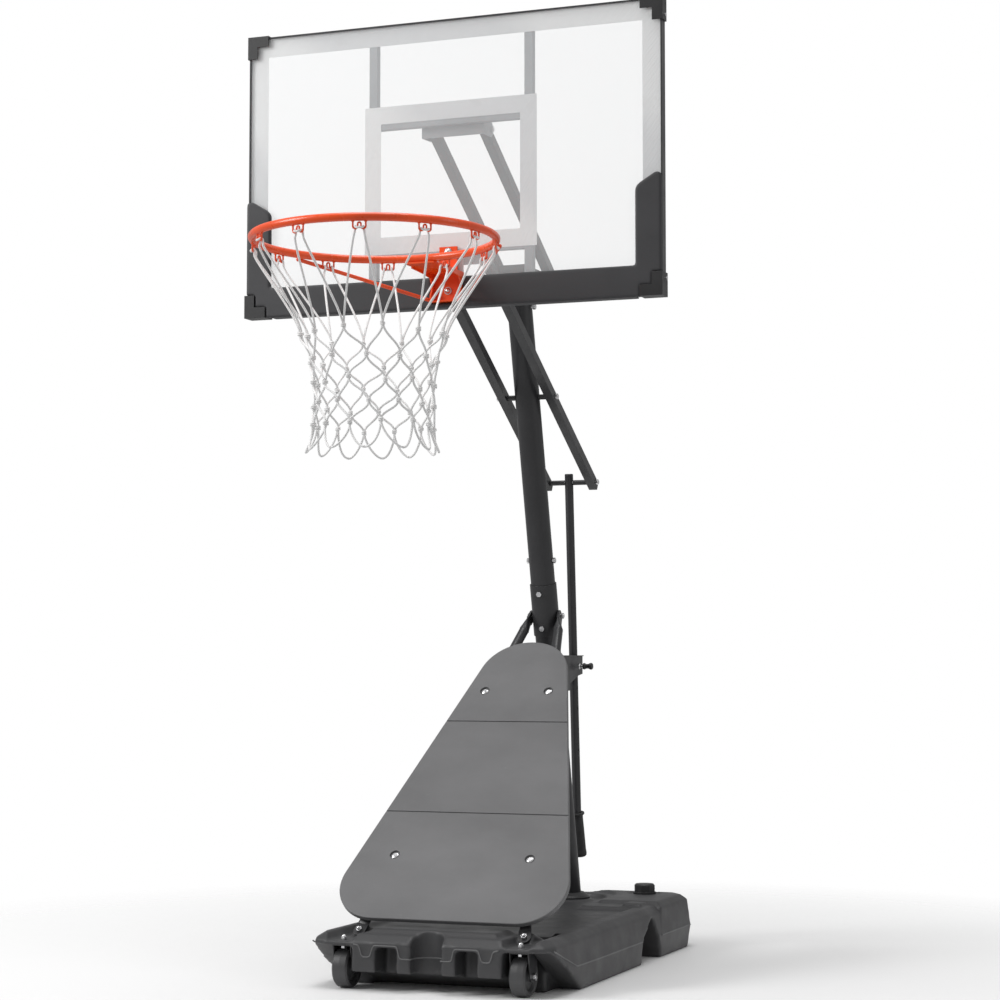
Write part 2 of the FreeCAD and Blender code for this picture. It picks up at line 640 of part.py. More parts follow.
SCREW_SPOTS = [((D["strut_top_x"] + row * splay_tan) * side, SCREW_ROWS[0] - PANEL_RISE - row)
               for row in SCREW_ROWS for side in (-1, 1)]
for radius, deep in ((11.0, 4.0), (3.6, 20.0)):
    wells = sketch_on(panel, f"wells_{int(deep)}")
    for x, y in SCREW_SPOTS:
        draw_circle(wells, radius, x, y)
    well_cut = panel.newObject("PartDesign::Pocket", "Wells")
    well_cut.Profile = wells
    well_cut.Length = deep
    doc.recompute()
panel.Label = "front_panel"
# The panel's top edge lies 150.5 mm up the slope from its upper screws.
row_down = SCREW_ROWS[0] - PANEL_RISE
panel_pos = (0, strut_point[1] - row_down * cos_s - front_offset * sin_s,
             strut_point[2] - row_down * sin_s + front_offset * cos_s)
panel_turn = FreeCAD.Rotation(V(1, 0, 0), D["strut_slope"].value)
place(panel, panel_pos, rotation=panel_turn)
NODES.append(("front_panel", panel))


def on_panel(x, y, out):
    """A point given in the panel's own frame, moved into the hoop's frame."""
    out = dim(out)
    y = dim(y)
    return (x, panel_pos[1] + y * cos_s - out * sin_s, panel_pos[2] + y * sin_s + out * cos_s)


screws = []
for x, y in SCREW_SPOTS:
    shape = fuse(rod(3.0, 48, (0, 0, -50.0)), rod(7.5, 2.2, (0, 0, -3.9)), cone(7.5, 4.5, 1.4, (0, 0, -1.7)),
                 prism(5.6, 4.6, (0, 0, -39.0)))
    screws.append(place(shape, on_panel(x, y, 0), rotation=panel_turn))
node("panel_screws", group(*screws))

# ---------------------------------------------------------------- base tank
half = D["tank_half"]
seam = D["seam_height"]
deck = D["tank_top"]


def tank_outline(side, front, corner, rear, rear_corner):
    """Plan of the tank at one level, walked anticlockwise from the front left."""
    side, front, rear = dim(side), dim(front), dim(rear)
    return [(-(side - corner), -front), (side - corner, -front), (side - corner * 0.3, -(front - corner * 0.3)),
            (side, -(front - corner)), (side, rear - rear_corner), (side - rear_corner, rear),
            (-(side - rear_corner), rear), (-side, rear - rear_corner), (-side, -(front - corner)),
            (-(side - corner * 0.3), -(front - corner * 0.3))]


shell = loft_body("tank_shell", [
    (0, tank_outline(half - 2, 588, 40, 386, 34)), (seam, tank_outline(half, 592, 42, 404, 34)),
    (deck - 13, tank_outline(half - 8, 590, 42, 398, 34)), (deck, tank_outline(half - 26, 572, 42, 384, 34))])
rear_block = loft_body("tank_rear", [
    (seam, [(-half, 142), (half, 142), (half, 370), (half - 34, 404), (-(half - 34), 404), (-half, 370)]),
    (D["rear_top"] - 12, [(-(half - 7), 156), (half - 7, 156), (half - 7, 366), (half - 38, 399),
                          (-(half - 38), 399), (-(half - 7), 366)]),
    (D["rear_top"], [(-(half - 22), 172), (half - 22, 172), (half - 22, 356), (half - 48, 386),
                     (-(half - 48), 386), (-(half - 22), 356)])])
front_block = loft_body("tank_front", [
    (90, [(-163, -592), (163, -592), (163, -430), (-163, -430)]),
    (96, [(-163, -592), (163, -592), (163, -430), (-163, -430)]),
    (122, [(-134, -548), (134, -548), (134, -470), (-134, -470)])])
boss_top = 110.0
boss = turned_body("tank_boss", [(0, 92), (60, 92), (58, boss_top - 4), (52, boss_top), (0, boss_top)])
place(boss, (0, 281, 0))
seats = []
for side in (-1, 1):
    seat = polygon_body("tank_seat", [(-518, 92), (-516.4, 98.9), (-496.0, 120.1), (-476, 114), (-440, 103), (-440, 92)],
                        34, "YZ_Plane", midplane=True)
    seats.append(place(seat, (foot_point[0] * side, 0, 0)))
clips = [span((-228, 112, deck - 6), (-186, 156, deck + 8)), span((186, 112, deck - 6), (228, 156, deck + 8))]
tank = fuse(shell, rear_block, front_block, *clips)

tools = []
# Side notches between the front body and the rear block.
for side in (-1, 1):
    tools.append(place(polygon_body("tank_notch", [(-2, -4), (138, -4), (136, 20), (97, 88), (88, 93), (78, 88), (2, 48)],
                                    170, "YZ_Plane"), (118 if side > 0 else -288, 0, 0)))
# Wheel wells, open at the front. The outer wall of each is raked back from the ear's edge down to the floor.
for side in (-1, 1):
    tools.append(span((163, -640, -5), (216.5, -482, 90)) if side > 0 else span((-216.5, -640, -5), (-163, -482, 90)))
    rake = polygon_body("tank_rake", [(-640, -5), (-408, -5), (-412, 3), (-562, 90), (-640, 90)], 90, "YZ_Plane")
    tools.append(place(rake, (216 if side > 0 else -306, 0, 0)))
# Undercut that lets the hoop tip onto its wheels.
tools.append(polygon_body("tank_undercut", [(-640, -6), (-640, 38), (-560, 38), (-505, 20), (-430, -6)], 330, "YZ_Plane",
                          midplane=True))
# Deck recess, strut pockets, slots and the centre recess in the front wall.
recess = loft_body("tank_recess", [(104, [(-206, -424), (206, -424), (206, 92), (-206, 92)]),
                                   (128, [(-232, -448), (232, -448), (232, 122), (-232, 122)])])
tools.append(recess)
for side in (-1, 1):
    pocket = polygon_body("ear_pocket", [(166, 98), (218, 98), (246, 130), (148, 130)], 240, "XZ_Plane")
    place(pocket, (0, -424, 0))
    tools.append(pocket if side > 0 else mirror_x(pocket))
    slot = span((64 if side > 0 else -111, -620, -5), (111 if side > 0 else -64, -532, 88))
    tools.append(slot)
tools.append(span((-33, -620, -5), (33, -580, 140)))
tools.append(rod(33, 160, (0, -580, -5)))
# Open-fronted bay around the pole foot, with a ledge one step up.
for radius, floor in ((88, 104), (112, 114)):
    tools.append(span((-radius, 88, floor), (radius, 281, 160)))
    tools.append(rod(radius, 60, (0, 281, floor)))
tank = cut(tank, *tools)
tank = fuse(tank, boss, *seats)
pole_socket = place(rod(r_pole + 0.3, 260, (0, 0, 0)), on_pole(D["pole_foot"] + 3.0), rotation=pole_turn)
cap_x, cap_y = D["cap_x"], D["cap_y"]
cap_well = rod(39, 10, (cap_x, cap_y, D["rear_top"] - 4))
cap_lip = cut(rod(28, 4.4, (cap_x, cap_y, D["rear_top"] - 5)), rod(20, 9, (cap_x, cap_y, D["rear_top"] - 7)))
cap_bore = rod(D["fill_radius"] + 0.3, 60, (cap_x, cap_y, D["rear_top"] - 34))
tools = [pole_socket, cap_well]
for side in (-1, 1):
    tools.append(rod(hole, 30, (D["wheel_x"] * side, -561, 80)))
    tools.append(place(rod(hole, 60, (0, 0, 0)), (foot_point[0] * side, foot_point[1] + 30 * sin_s,
                                                   foot_point[2] - 30 * cos_s), rotation=panel_turn))
tank = cut(tank, *tools)
tank = cut(fuse(tank, cap_lip), cap_bore)

# Parting line: a fine raised bead that climbs over the notch and steps along the front wall.
beads = []


def bead_line(points, plane, at):
    """Short square beads joining points; plane XZ is a front wall, YZ a side wall."""
    for (a0, b0), (a1, b1) in zip(points, points[1:]):
        run = math.hypot(a1 - a0, b1 - b0)
        angle = math.degrees(math.atan2(b1 - b0, a1 - a0))
        if plane == "XZ":
            bar = box(run + 1.2, 2.4, 1.8)
            turn = FreeCAD.Rotation(V(0, 1, 0), -angle)
            put(bar, FreeCAD.Placement(V(a0, at, b0), turn) * FreeCAD.Placement(V(-0.6, 0, -0.9), ALONG_Z))
        else:
            bar = box(2.4, run + 1.2, 1.8)
            turn = FreeCAD.Rotation(V(1, 0, 0), angle)
            put(bar, FreeCAD.Placement(V(at, a0, b0), turn) * FreeCAD.Placement(V(0, -0.6, -0.9), ALONG_Z))
        beads.append(bar)


for at in (half.value - 1.3, -half.value - 1.1):
    bead_line([(-412, 50), (0, 50)], "YZ", at)
    bead_line([(138, 50), (368, 50)], "YZ", at)
for flip in (-1, 1):
    castle = [(146, 95), (141, 70), (122, 70), (115, 96), (62, 96), (58, 70), (34, 70)]
    bead_line([(x * flip, z) for x, z in castle], "XZ", -593.0)
bead_line([(-234, 50), (234, 50)], "XZ", 402.6)
tank = fuse(tank, *beads)
node("base_tank", tank)

foot_collar = cut(turned_body("foot_ring", [(0, 0), (48, 0), (48, 3), (44, 7), (34, 14), (0, 14)]),
                  rod(r_pole + 0.5, 120, (0, 40 * sin_p, -40 * cos_p), pole_turn))
collar_z = dim(boss_top) + 0.2
node("foot_collar", place(foot_collar, (0, (low_z - collar_z) * trig(D["pole_lean"], "tan"), collar_z)))

cap_shape = fuse(prism(25, 16, (0, 0, 0), sides=8), cone(25 * 0.924, 21, 3.0, (0, 0, 16)),
                 rod(27, 3.0, (0, 0, -3.0)), rod(D["fill_radius"], 30, (0, 0, -32)))
node("fill_cap", place(cap_shape, (cap_x, cap_y, D["rear_top"] + 2.6)))

# ---------------------------------------------------------------- wheels
axle_z = D["wheel_radius"]
wx, wy, ww = D["wheel_x"], -D["wheel_y"], D["wheel_width"]
fork_in = ww / 2 + 1.5
fork_bolts, axles, forks = [], [], []
for side, name in ((-1, "left"), (1, "right")):
    wr, bore = D["wheel_radius"], D["axle_radius"] + D["running_gap"]
    wheel = turned_body(f"wheel_{name}", [
        (bore, -17.6), (11, -17.6), (12, -14), (26, -10), (31, -15.5), (wr - 4, -17), (wr - 0.6, -13.5), (wr, 0),
        (wr - 0.6, 13.5), (wr - 4, 17), (31, 15.5), (26, 10), (12, 14), (11, 17.6), (bore, 17.6)])
    wheel.Label = f"wheel_{name}"
    NODES.append((f"wheel_{name}", place(wheel, (wx * side, wy, axle_z), rotation=ALONG_X)))
    plates = polygon_body(f"fork_{name}_plate", [(-21, 60), (-26, 89.5), (26, 89.5), (21, 60), (15, 38), (9, 30), (-9, 30),
                                                 (-15, 38)], fork_in * 2 + 5, "YZ_Plane", midplane=True)
    room = span((-fork_in, -40, 0), (fork_in, 80, 86.5))
    fork = cut(plates, room, rod(D["axle_radius"] + 0.1, 80, (-40, 0, axle_z), ALONG_X),
               rod(hole, 30, (0, -14.5, 70)))
    forks.append(place(fork, (wx * side, wy, 0)))
    fork_bolts.append(hex_bolt(6.0, (wx * side, -561, 92.2), ALONG_Z, dome=True))
    axles.append(hex_bolt(fork_in + 2.6, (wx * side, wy, axle_z), ALONG_X, radius=D["axle_radius"], head=8))
node("wheel_forks", group(*forks))
node("axle_bolts", group(*axles))
foot_bolts = []
for side in (-1, 1):
    spot = (foot_point[0] * side, foot_point[1], foot_point[2])
    shape = fuse(rod(pin, 36, (0, 0, -26)), prism(6.5, 5.5, (0, 0, 2.6)), ball(4.7, (0, 0, 8.1)))
    foot_bolts.append(place(shape, spot, rotation=panel_turn))
node("ear_bolts", group(*fork_bolts, *foot_bolts))

# ---------------------------------------------------------------- board
bw, bh, bz = D["board_width"], D["board_height"], D["board_low"]
lip, rail_w, rail_d = D["rail_lip"], D["rail_width"], D["rail_depth"]
panel_back = board_y + D["panel_thick"]
print_back = panel_back + D["print_thick"]
rail_front, rail_back = print_back + 0.1, print_back + 0.1 + rail_d
board_top = bz + bh
clear = span((-(bw / 2 - lip - 0.2), board_y, bz + lip + 0.2), (bw / 2 - lip - 0.2, panel_back, board_top - lip - 0.2))
rim_z = D["rim_height"]
rim_bolt_z = (1519.0, 1437.0)
drills = [rod(hole, 60, (0, board_y - 30, z), ALONG_Y) for z in rim_bolt_z]
node("clear_board", cut(clear, *drills))


def frame_of(outer_half, low, high, band, y_front, y_back):
    """A flat rectangular ring."""
    outer_half, low, high, band = dim(outer_half), dim(low), dim(high), dim(band)
    return cut(span((-outer_half, y_front, low), (outer_half, y_back, high)),
               span((-(outer_half - band), y_front - 5, low + band), (outer_half - band, y_back + 5, high - band)))


border = frame_of(bw / 2 - lip - 0.2, bz + lip + 0.2, board_top - lip - 0.2, D["border_width"], panel_back, print_back)
node("white_border", cut(border, rod(hole, 60, (0, board_y - 30, rim_bolt_z[1]), ALONG_Y)))
tw, th, tz = D["target_width"], D["target_height"], D["target_low"]
target = frame_of(tw / 2, tz, tz + th, D["target_band"], panel_back, print_back)
node("target_square", cut(target, rod(hole, 60, (0, board_y - 30, rim_bolt_z[0]), ALONG_Y)))


def rail(label, length, turn, pos, screws=()):
    """One side of the steel frame: a box rail behind the board with a lip around its edge."""
    body = polygon_body(label, [(0, 0), (rail_w, 0), (rail_w, rail_d), (0, rail_d)], length)
    lip_body = polygon_body(label + "_lip", [(0, -(D["panel_thick"] + D["print_thick"] + 2.1)), (lip, -(
        D["panel_thick"] + D["print_thick"] + 2.1)), (lip, 1), (0, 1)], length)
    t = 1.5
    bore = polygon_body(label + "_bore", [(t, t), (rail_w - t, t), (rail_w - t, rail_d - t), (t, rail_d - t)],
                        dim(length) + 4)
    place(bore, (0, 0, -2))
    taps = [rod(2.1, 6, (-2, rail_d / 2, at), ALONG_X) for at in screws]
    return node(label, place(cut(fuse(body, lip_body), bore, *taps), pos, rotation=turn))


# Each rail's own X points into the board, its Y backwards and its Z along the rail.
turn_left = FreeCAD.Rotation(V(1, 0, 0), V(0, 1, 0), V(0, 0, 1), "XYZ")
turn_right = FreeCAD.Rotation(V(-1, 0, 0), V(0, 1, 0), V(0, 0, -1), "XYZ")
turn_low = FreeCAD.Rotation(V(0, 0, 1), V(0, 1, 0), V(-1, 0, 0), "XYZ")
turn_high = FreeCAD.Rotation(V(0, 0, -1), V(0, 1, 0), V(1, 0, 0), "XYZ")
rail("frame_bottom", bw, turn_low, (bw / 2, rail_front, bz))
rail("frame_top", bw, turn_high, (-(bw / 2), rail_front, board_top))
side_length = bh - rail_w * 2
side_taps = (dim(14), side_length - 14)
rail("frame_left", side_length, turn_left, (-(bw / 2), rail_front, bz + rail_w), side_taps)
rail("frame_right", side_length, turn_right, (bw / 2, rail_front, board_top - rail_w), side_taps)

bar = D["bar_width"]
bar_x = D["bar_spacing"] / 2
bar_low_z, bar_high_z = bz + rail_w, board_top - rail_w
posts = []
for side in (-1, 1):
    middle_x = bar_x * side
    tube = cut(span((middle_x - bar / 2, rail_front, bar_low_z), (middle_x + bar / 2, rail_front + bar - 2, bar_high_z)),
               span((middle_x - bar / 2 + 1.5, rail_front + 1.5, bar_low_z - 1),
                    (middle_x + bar / 2 - 1.5, rail_front + bar - 3.5, bar_high_z + 1)))
    posts.append(tube)
node("rear_posts", group(*posts))
bars = []
for z, name in ((D["bar_high"], "upper"), (D["bar_low"], "lower")):
    reach = bar_x - bar / 2
    tube = cut(span((-reach, rail_front, z - 10), (reach, rail_front + bar - 2, z + 10)),
               span((-reach - 1, rail_front + 1.5, z - 8.5), (reach + 1, rail_front + bar - 3.5, z + 8.5)))
    if name == "lower":
        tube = cut(tube, rod(hole, 90, (0, board_y - 30, rim_bolt_z[0]), ALONG_Y))
    bars.append(tube)
node("cross_bars", group(*bars))

ear_in, ear_out = arm_out + 0.5, arm_out + 0.5 + D["ear_thick"]
ear_back = front_y + 15
bracket_front = rail_front + bar - 2 + 0.05


def board_bracket(label, z_pivot, z_low, z_high):
    """A bent channel on the cross bar whose two ears hold the front ends of the arms."""
    web = span((-ear_out, bracket_front, z_low), (ear_out, bracket_front + 3, z_high))
    ears = []
    for side in (-1, 1):
        x0 = ear_in if side > 0 else -ear_out
        flat = polygon_body(label + "_ear", [(bracket_front, z_low), (front_y + 8, z_pivot - 15), (ear_back, z_pivot - 7),
                                             (ear_back, z_pivot + 7), (front_y + 8, z_pivot + 15),
                                             (bracket_front, z_high)], D["ear_thick"], "YZ_Plane")
        ears.append(place(flat, (x0, 0, 0)))
    drill = rod(hole, 170, (-85, front_y, z_pivot), ALONG_X)
    solid = cut(fuse(web, *ears), drill)
    if z_low.value < 1520:
        solid = cut(solid, *[rod(hole, 90, (0, board_y - 30, z), ALONG_Y) for z in rim_bolt_z])
    return node(label, solid)


upper_z, lower_z = high_z + front_rise, low_z + front_rise
board_bracket("board_bracket_upper", upper_z, D["bar_high"] - 32, D["bar_high"] + 9)
board_bracket("board_bracket_lower", lower_z, D["bar_low"] - 34, D["bar_low"] + 9)
front_pivots = (upper_z, lower_z)
node("board_pivot_bolts", group(*[hex_bolt(ear_out + 0.3, (0, front_y, z), ALONG_X) for z in front_pivots]))
front_start = -(arm_in - 0.5)
node("board_pivot_spacers",
     group(*[ring_tube(6.0, pin + 0.2, arm_in * 2 - 1.0, (front_start, front_y, z), ALONG_X) for z in front_pivots]))
# Steel strip behind the board that takes the rim bolts down to the bottom rail.
strip = span((-30, rail_front, bz + rail_w + 0.1), (30, rail_front + 4, D["bar_low"] - 10.1))
node("rim_backing_strip", cut(strip, *[rod(hole, 60, (0, board_y - 30, z), ALONG_Y) for z in rim_bolt_z]))

# Edge pad along the bottom and up both sides, with a gap at the rim bracket.
pad_face = board_y - D["pad_depth"]
leg, band_h, peak = D["pad_leg"], D["pad_band"], D["pad_peak"]
side_x = bw / 2 + 0.4


corner_hole = D["cap_arm"] + 0.4
pad_low = bz - 4.0
band = cut(span((-(side_x - leg), pad_face, pad_low), (side_x - leg, board_y - 0.1, bz + band_h)),
           span((-(D["bracket_half"] + 1.5), pad_face - 5, 1411), (D["bracket_half"] + 1.5, board_y + 5, 1500)),
           span((-side_x, board_y - 2.2, bz - 0.2), (side_x, board_y + 1, bz + lip + 0.2)))
shelf = span((-(side_x - leg), board_y - 2.6, pad_low), (side_x - leg, rail_back, bz - 0.2))
pad_mid = fuse(band, shelf)
legs = []
# The rounded top of a pad leg, as steps inwards and downwards from its outer corner.
LEG_TOP = ((0, 9), (1.4, 4.2), (4.6, 1.2), (9, 0), (14, 0.9), (44, 18.5), (51, 24), (54.6, 29.5))
for side in (-1, 1):
    pts = [((side_x - leg) * side, pad_low), (side_x * side, pad_low)]
    pts += [((side_x - back) * side, bz + peak - down) for back, down in LEG_TOP]
    pts += [((side_x - leg) * side, bz + peak - 36)]
    plate = polygon_body(f"pad_leg_{side + 1}", pts, D["pad_depth"] - 0.1, "XZ_Plane")
    place(plate, (0, board_y - 0.1, 0))
    notch_x = (side_x - corner_hole, side_x + 5) if side > 0 else (-(side_x + 5), -(side_x - corner_hole))
    notch = cut(span((notch_x[0], pad_face - 5, pad_low - 5), (notch_x[1], board_y + 5, bz + corner_hole)),
                span(((side_x - 300 if side > 0 else -(side_x - D["cap_width"] - 0.4)), pad_face - 9,
                      bz + D["cap_width"] + 0.4),
                     ((side_x - D["cap_width"] - 0.4 if side > 0 else -(side_x - 300)), board_y + 9, bz + 200)))
    lip_x = bw / 2 - lip - 0.2
    lip_room = span((lip_x if side > 0 else -(side_x + 5), board_y - 2.2, pad_low - 5),
                    (side_x + 5 if side > 0 else -lip_x, board_y + 1, board_top))
    low_lip_room = span((-side_x, board_y - 2.2, bz - 0.2), (side_x, board_y + 1, bz + lip + 0.2))
    legs.append(cut(plate, notch, lip_room, low_lip_room))
node("edge_pad", fuse(pad_mid, *legs))


def corner_cap(side, up):
    """A moulded corner shell over the frame; its two front arms make an L."""
    wall, reach, wide = D["cap_wall"], D["cap_arm"], D["cap_width"]
    front = board_y - 5.0 if up else pad_face - 2.5
    back = rail_back + 2.0
    outer_z = board_top + wall if up else bz - wall
    outer_x = bw / 2 + wall
    inner_x = outer_x - wall - reach
    if up:
        z0, z1 = board_top - reach, outer_z
        room = span((inner_x - 5, board_y - 2.6, z0 - 5), (bw / 2 + 0.3, rail_back + 0.2, board_top + 0.3))
        inside = span((inner_x - 5, front - 5, z0 - 5), (bw / 2 - wide, back + 5, board_top - wide))
    else:
        z0, z1 = outer_z, bz + reach
        room = span((inner_x - 5, board_y - 2.6, bz - 0.3), (bw / 2 + 0.3, rail_back + 0.2, z1 + 5))
        inside = span((inner_x - 5, front - 5, bz + wide), (bw / 2 - wide, back + 5, z1 + 5))
    screw_z = board_top - 34 if up else bz + 34
    screw_hole = rod(2.1, 20, (bw / 2 - 8, rail_front + rail_d / 2, screw_z), ALONG_X)
    solid = cut(span((inner_x, front, z0), (outer_x, back, z1)), room, inside, screw_hole)
    return solid if side > 0 else mirror_x(solid)


node("corner_caps", group(*[corner_cap(side, up) for up in (True, False) for side in (-1, 1)]))
cap_screws = []
for side in (-1, 1):
    for z in (bz + 34, board_top - 34):
        x0 = bw / 2 + D["cap_wall"] + 0.1
        shape = fuse(rod(4.0, 2.2, (0, 0, 0)), rod(2.0, 8.0, (0, 0, -7.5)))
        turn = FreeCAD.Rotation(V(0, 1, 0), 90 * side)
        cap_screws.append(place(shape, (x0 * side, rail_front + rail_d / 2, z), rotation=turn))
node("cap_screws", group(*cap_screws))

# ---------------------------------------------------------------- rim
rim_y = board_y - D["rim_offset"]
ring = doc.addObject("Part::Torus", "Ring")
bind(ring, Radius1=D["rim_radius"], Radius2=D["rim_rod"])
node("rim_ring", place(ring, (0, rim_y, rim_z)))
bh2 = D["bracket_half"]
plate_t = 3.5
under = rim_z - D["rim_rod"]
ring_front = rim_y + D["rim_radius"]
back_plate = span((-bh2, board_y - plate_t, 1412), (bh2, board_y - 0.05, under))
tab = span((-20, board_y - plate_t, under - 1), (20, board_y - 0.05, 1530))
shelf = polygon_body("rim_shelf", [(-bh2, board_y - 0.05), (-bh2, ring_front - 4), (-(bh2 - 5), ring_front - 9),
                                   (bh2 - 5, ring_front - 9), (bh2, ring_front - 4), (bh2, board_y - 0.05)], plate_t)
place(shelf, (0, 0, under - plate_t))
cheeks = []
for side in (-1, 1):
    side_plate = polygon_body("rim_cheek", [(board_y - 0.05, 1412), (board_y - 24, 1412), (board_y - 22, 1428),
                                            (board_y - 15, 1440), (board_y - 15, 1450), (board_y - 24, 1462),
                                            (board_y - 60, under - 9), (board_y - 120, under - 7),
                                            (board_y - 120, under), (board_y - 0.05, under)], plate_t, "YZ_Plane")
    cheeks.append(place(side_plate, (bh2 - plate_t if side > 0 else -bh2, 0, 0)))
foot_flange = span((-bh2, board_y - 24, 1412), (bh2, board_y - 0.05, 1415))
node("rim_bracket", cut(fuse(back_plate, tab, shelf, foot_flange, *cheeks),
                        *[rod(hole, 60, (0, board_y - 40, z), ALONG_Y) for z in rim_bolt_z]))
braces = []
for side in (-1, 1):
    angle = math.radians(27)
    reach = D["rim_radius"].value + 8.0
    start = V(reach * math.cos(angle) * side, rim_y.value + reach * math.sin(angle), rim_z.value - 9.0)
    end = V((bh2.value + 4.2) * side, board_y.value - 17, 1418)
    run = end - start
    turn = FreeCAD.Rotation(V(0, 0, 1), run)
    braces.append(fuse(rod(4.0, run.Length, tuple(start), turn), ball(4.0, tuple(start)), ball(4.0, tuple(end))))
node("rim_braces", group(*braces))
rim_bolts = []
for i, z in enumerate(rim_bolt_z):
    depth_front = board_y - plate_t - 0.1
    depth_back = bracket_front + 3.1 if i == 0 else rail_front + 4.1
    dome = cut(ball(6.6, (0, 0, -1.0)), rod(9.0, 12.0, (0, 0, -0.5)))
    shape = fuse(rod(pin, depth_back - depth_front + 9, (0, 0, -1)), rod(8.2, 2.0, (0, 0, -2.0)), dome,
                 prism(7.2, 6.0, (0, 0, depth_back - depth_front)))
    rim_bolts.append(place(shape, (0, depth_front, z), rotation=ALONG_Y))
node("rim_bolts", group(*rim_bolts))

# Net hooks: each is one wire bent into a W whose two outer ends are welded under the ring.
HOOK_COUNT, FIRST_HOOK = 12, 17.3
HOOK_OUTER, HOOK_INNER, LOOP_DEPTH, ARCH_DEPTH = 12.0, 3.0, 10.5, 6.5
LOOP_RADIUS = (HOOK_OUTER - HOOK_INNER) / 2


def hook_path(name):
    """The wire's centreline in its own XZ plane, from one outer end to the other."""
    path = doc.addObject("Sketcher::SketchObject", name)
    loop_x = HOOK_INNER + LOOP_RADIUS
    for side in (-1, 1):
        path.addGeometry(Part.LineSegment(V(HOOK_OUTER * side, 0, 0), V(HOOK_OUTER * side, -LOOP_DEPTH, 0)))
        path.addGeometry(Part.LineSegment(V(HOOK_INNER * side, -LOOP_DEPTH, 0), V(HOOK_INNER * side, -ARCH_DEPTH, 0)))
        loop = Part.Circle(V(loop_x * side, -LOOP_DEPTH, 0), V(0, 0, 1), LOOP_RADIUS)
        path.addGeometry(Part.ArcOfCircle(loop, math.pi, 2 * math.pi))
    arch = Part.Circle(V(0, -ARCH_DEPTH, 0), V(0, 0, 1), HOOK_INNER)
    path.addGeometry(Part.ArcOfCircle(arch, 0, math.pi))
    return path


hooks = []
hook_top = under + 1.0
for number in range(HOOK_COUNT):
    spin = FIRST_HOOK + 360.0 / HOOK_COUNT * number
    path = hook_path(f"hook_path_{number}")
    section = doc.addObject("Part::Circle", "HookSection")
    bind(section, Radius=D["hook_rod"])
    place(section, (-HOOK_OUTER, 0, 0), rotation=ALONG_Y)
    hook = doc.addObject("Part::Sweep", "Hook")
    hook.Sections = [section]
    hook.Spine = (path, [])
    hook.Solid = True
    hook.Frenet = False
    doc.recompute()
    stand = FreeCAD.Rotation(V(0, 0, 1), spin + 90) * FreeCAD.Rotation(V(1, 0, 0), 90)
    angle = math.radians(spin)
    radius = D["rim_radius"].value
    hook_spot = V(radius * math.cos(angle), (rim_y + radius * math.sin(angle)).value, hook_top.value)
    hook.Placement = FreeCAD.Placement(hook_spot, stand)
    hooks.append(hook)
node("net_hooks", group(*hooks))

# The net, drawn as a thin open sleeve that fills the space of its knotted cords.
nt, nw, nb = D["net_top"], D["net_waist"], D["net_bottom"]
rt, rw, rb, thick = D["net_top_radius"], D["net_waist_radius"], D["net_bottom_radius"], D["net_thick"]
net_side = [(rt, nt), (rt - 31, nt - 74), (rw + 25, nw + 132), (rw + 3, nw + 57), (rw, nw + 15), (rw, nw - 50), (rb, nb)]
net = turned_body("net", net_side + [(r - thick, z) for r, z in net_side[::-1]])
net.Label = "net"
NODES.append(("net", place(net, (0, rim_y, 0))))

# ---------------------------------------------------------------- checks and export
doc.recompute()
bad = []
for obj in doc.Objects:
    if "Invalid" in obj.State or "Error" in obj.State:
        bad.append(f"{obj.Label} ({obj.TypeId})")
for label, obj in NODES:
    shape = obj.Shape
    if shape.isNull() or not shape.isValid():
        bad.append(f"{label}: shape not valid")
    elif not shape.Solids:
        bad.append(f"{label}: no solid")
if bad:
    raise RuntimeError("; ".join(bad))
for label, obj in NODES:
    obj.Shape.exportStep(f"parts/{label}.step")
    size = obj.Shape.BoundBox
    print(f"{label:22s} solids {len(obj.Shape.Solids):2d}  x {size.XMin:8.1f} {size.XMax:8.1f}  "
          f"y {size.YMin:8.1f} {size.YMax:8.1f}  z {size.ZMin:8.1f} {size.ZMax:8.1f}")
print(len(NODES), "nodes")
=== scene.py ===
import json
import math
import random

import bmesh
import bpy
from mathutils import Matrix, Vector, noise


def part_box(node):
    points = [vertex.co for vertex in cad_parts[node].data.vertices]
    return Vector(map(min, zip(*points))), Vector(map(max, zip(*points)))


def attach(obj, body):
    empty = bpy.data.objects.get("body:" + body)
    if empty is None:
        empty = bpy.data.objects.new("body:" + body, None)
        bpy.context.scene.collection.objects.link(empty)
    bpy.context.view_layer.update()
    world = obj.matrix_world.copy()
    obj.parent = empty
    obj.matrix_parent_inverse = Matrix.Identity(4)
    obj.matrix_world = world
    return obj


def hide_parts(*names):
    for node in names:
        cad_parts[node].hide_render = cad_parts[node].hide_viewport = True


# Looks of a portable basketball hoop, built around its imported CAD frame. Lengths are in metres.
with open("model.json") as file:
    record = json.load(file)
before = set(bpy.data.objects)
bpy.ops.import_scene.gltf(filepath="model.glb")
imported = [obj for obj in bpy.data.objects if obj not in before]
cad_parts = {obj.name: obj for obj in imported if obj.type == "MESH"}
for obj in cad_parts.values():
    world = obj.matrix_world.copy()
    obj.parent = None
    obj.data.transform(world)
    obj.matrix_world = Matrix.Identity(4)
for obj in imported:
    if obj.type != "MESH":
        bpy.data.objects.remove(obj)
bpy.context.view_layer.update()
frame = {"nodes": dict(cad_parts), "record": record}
NODES = frame["nodes"]
MM = 0.001
FULL_TURN = 2 * math.pi
BEVEL_SAMPLES = 4
chance = random.Random(12)


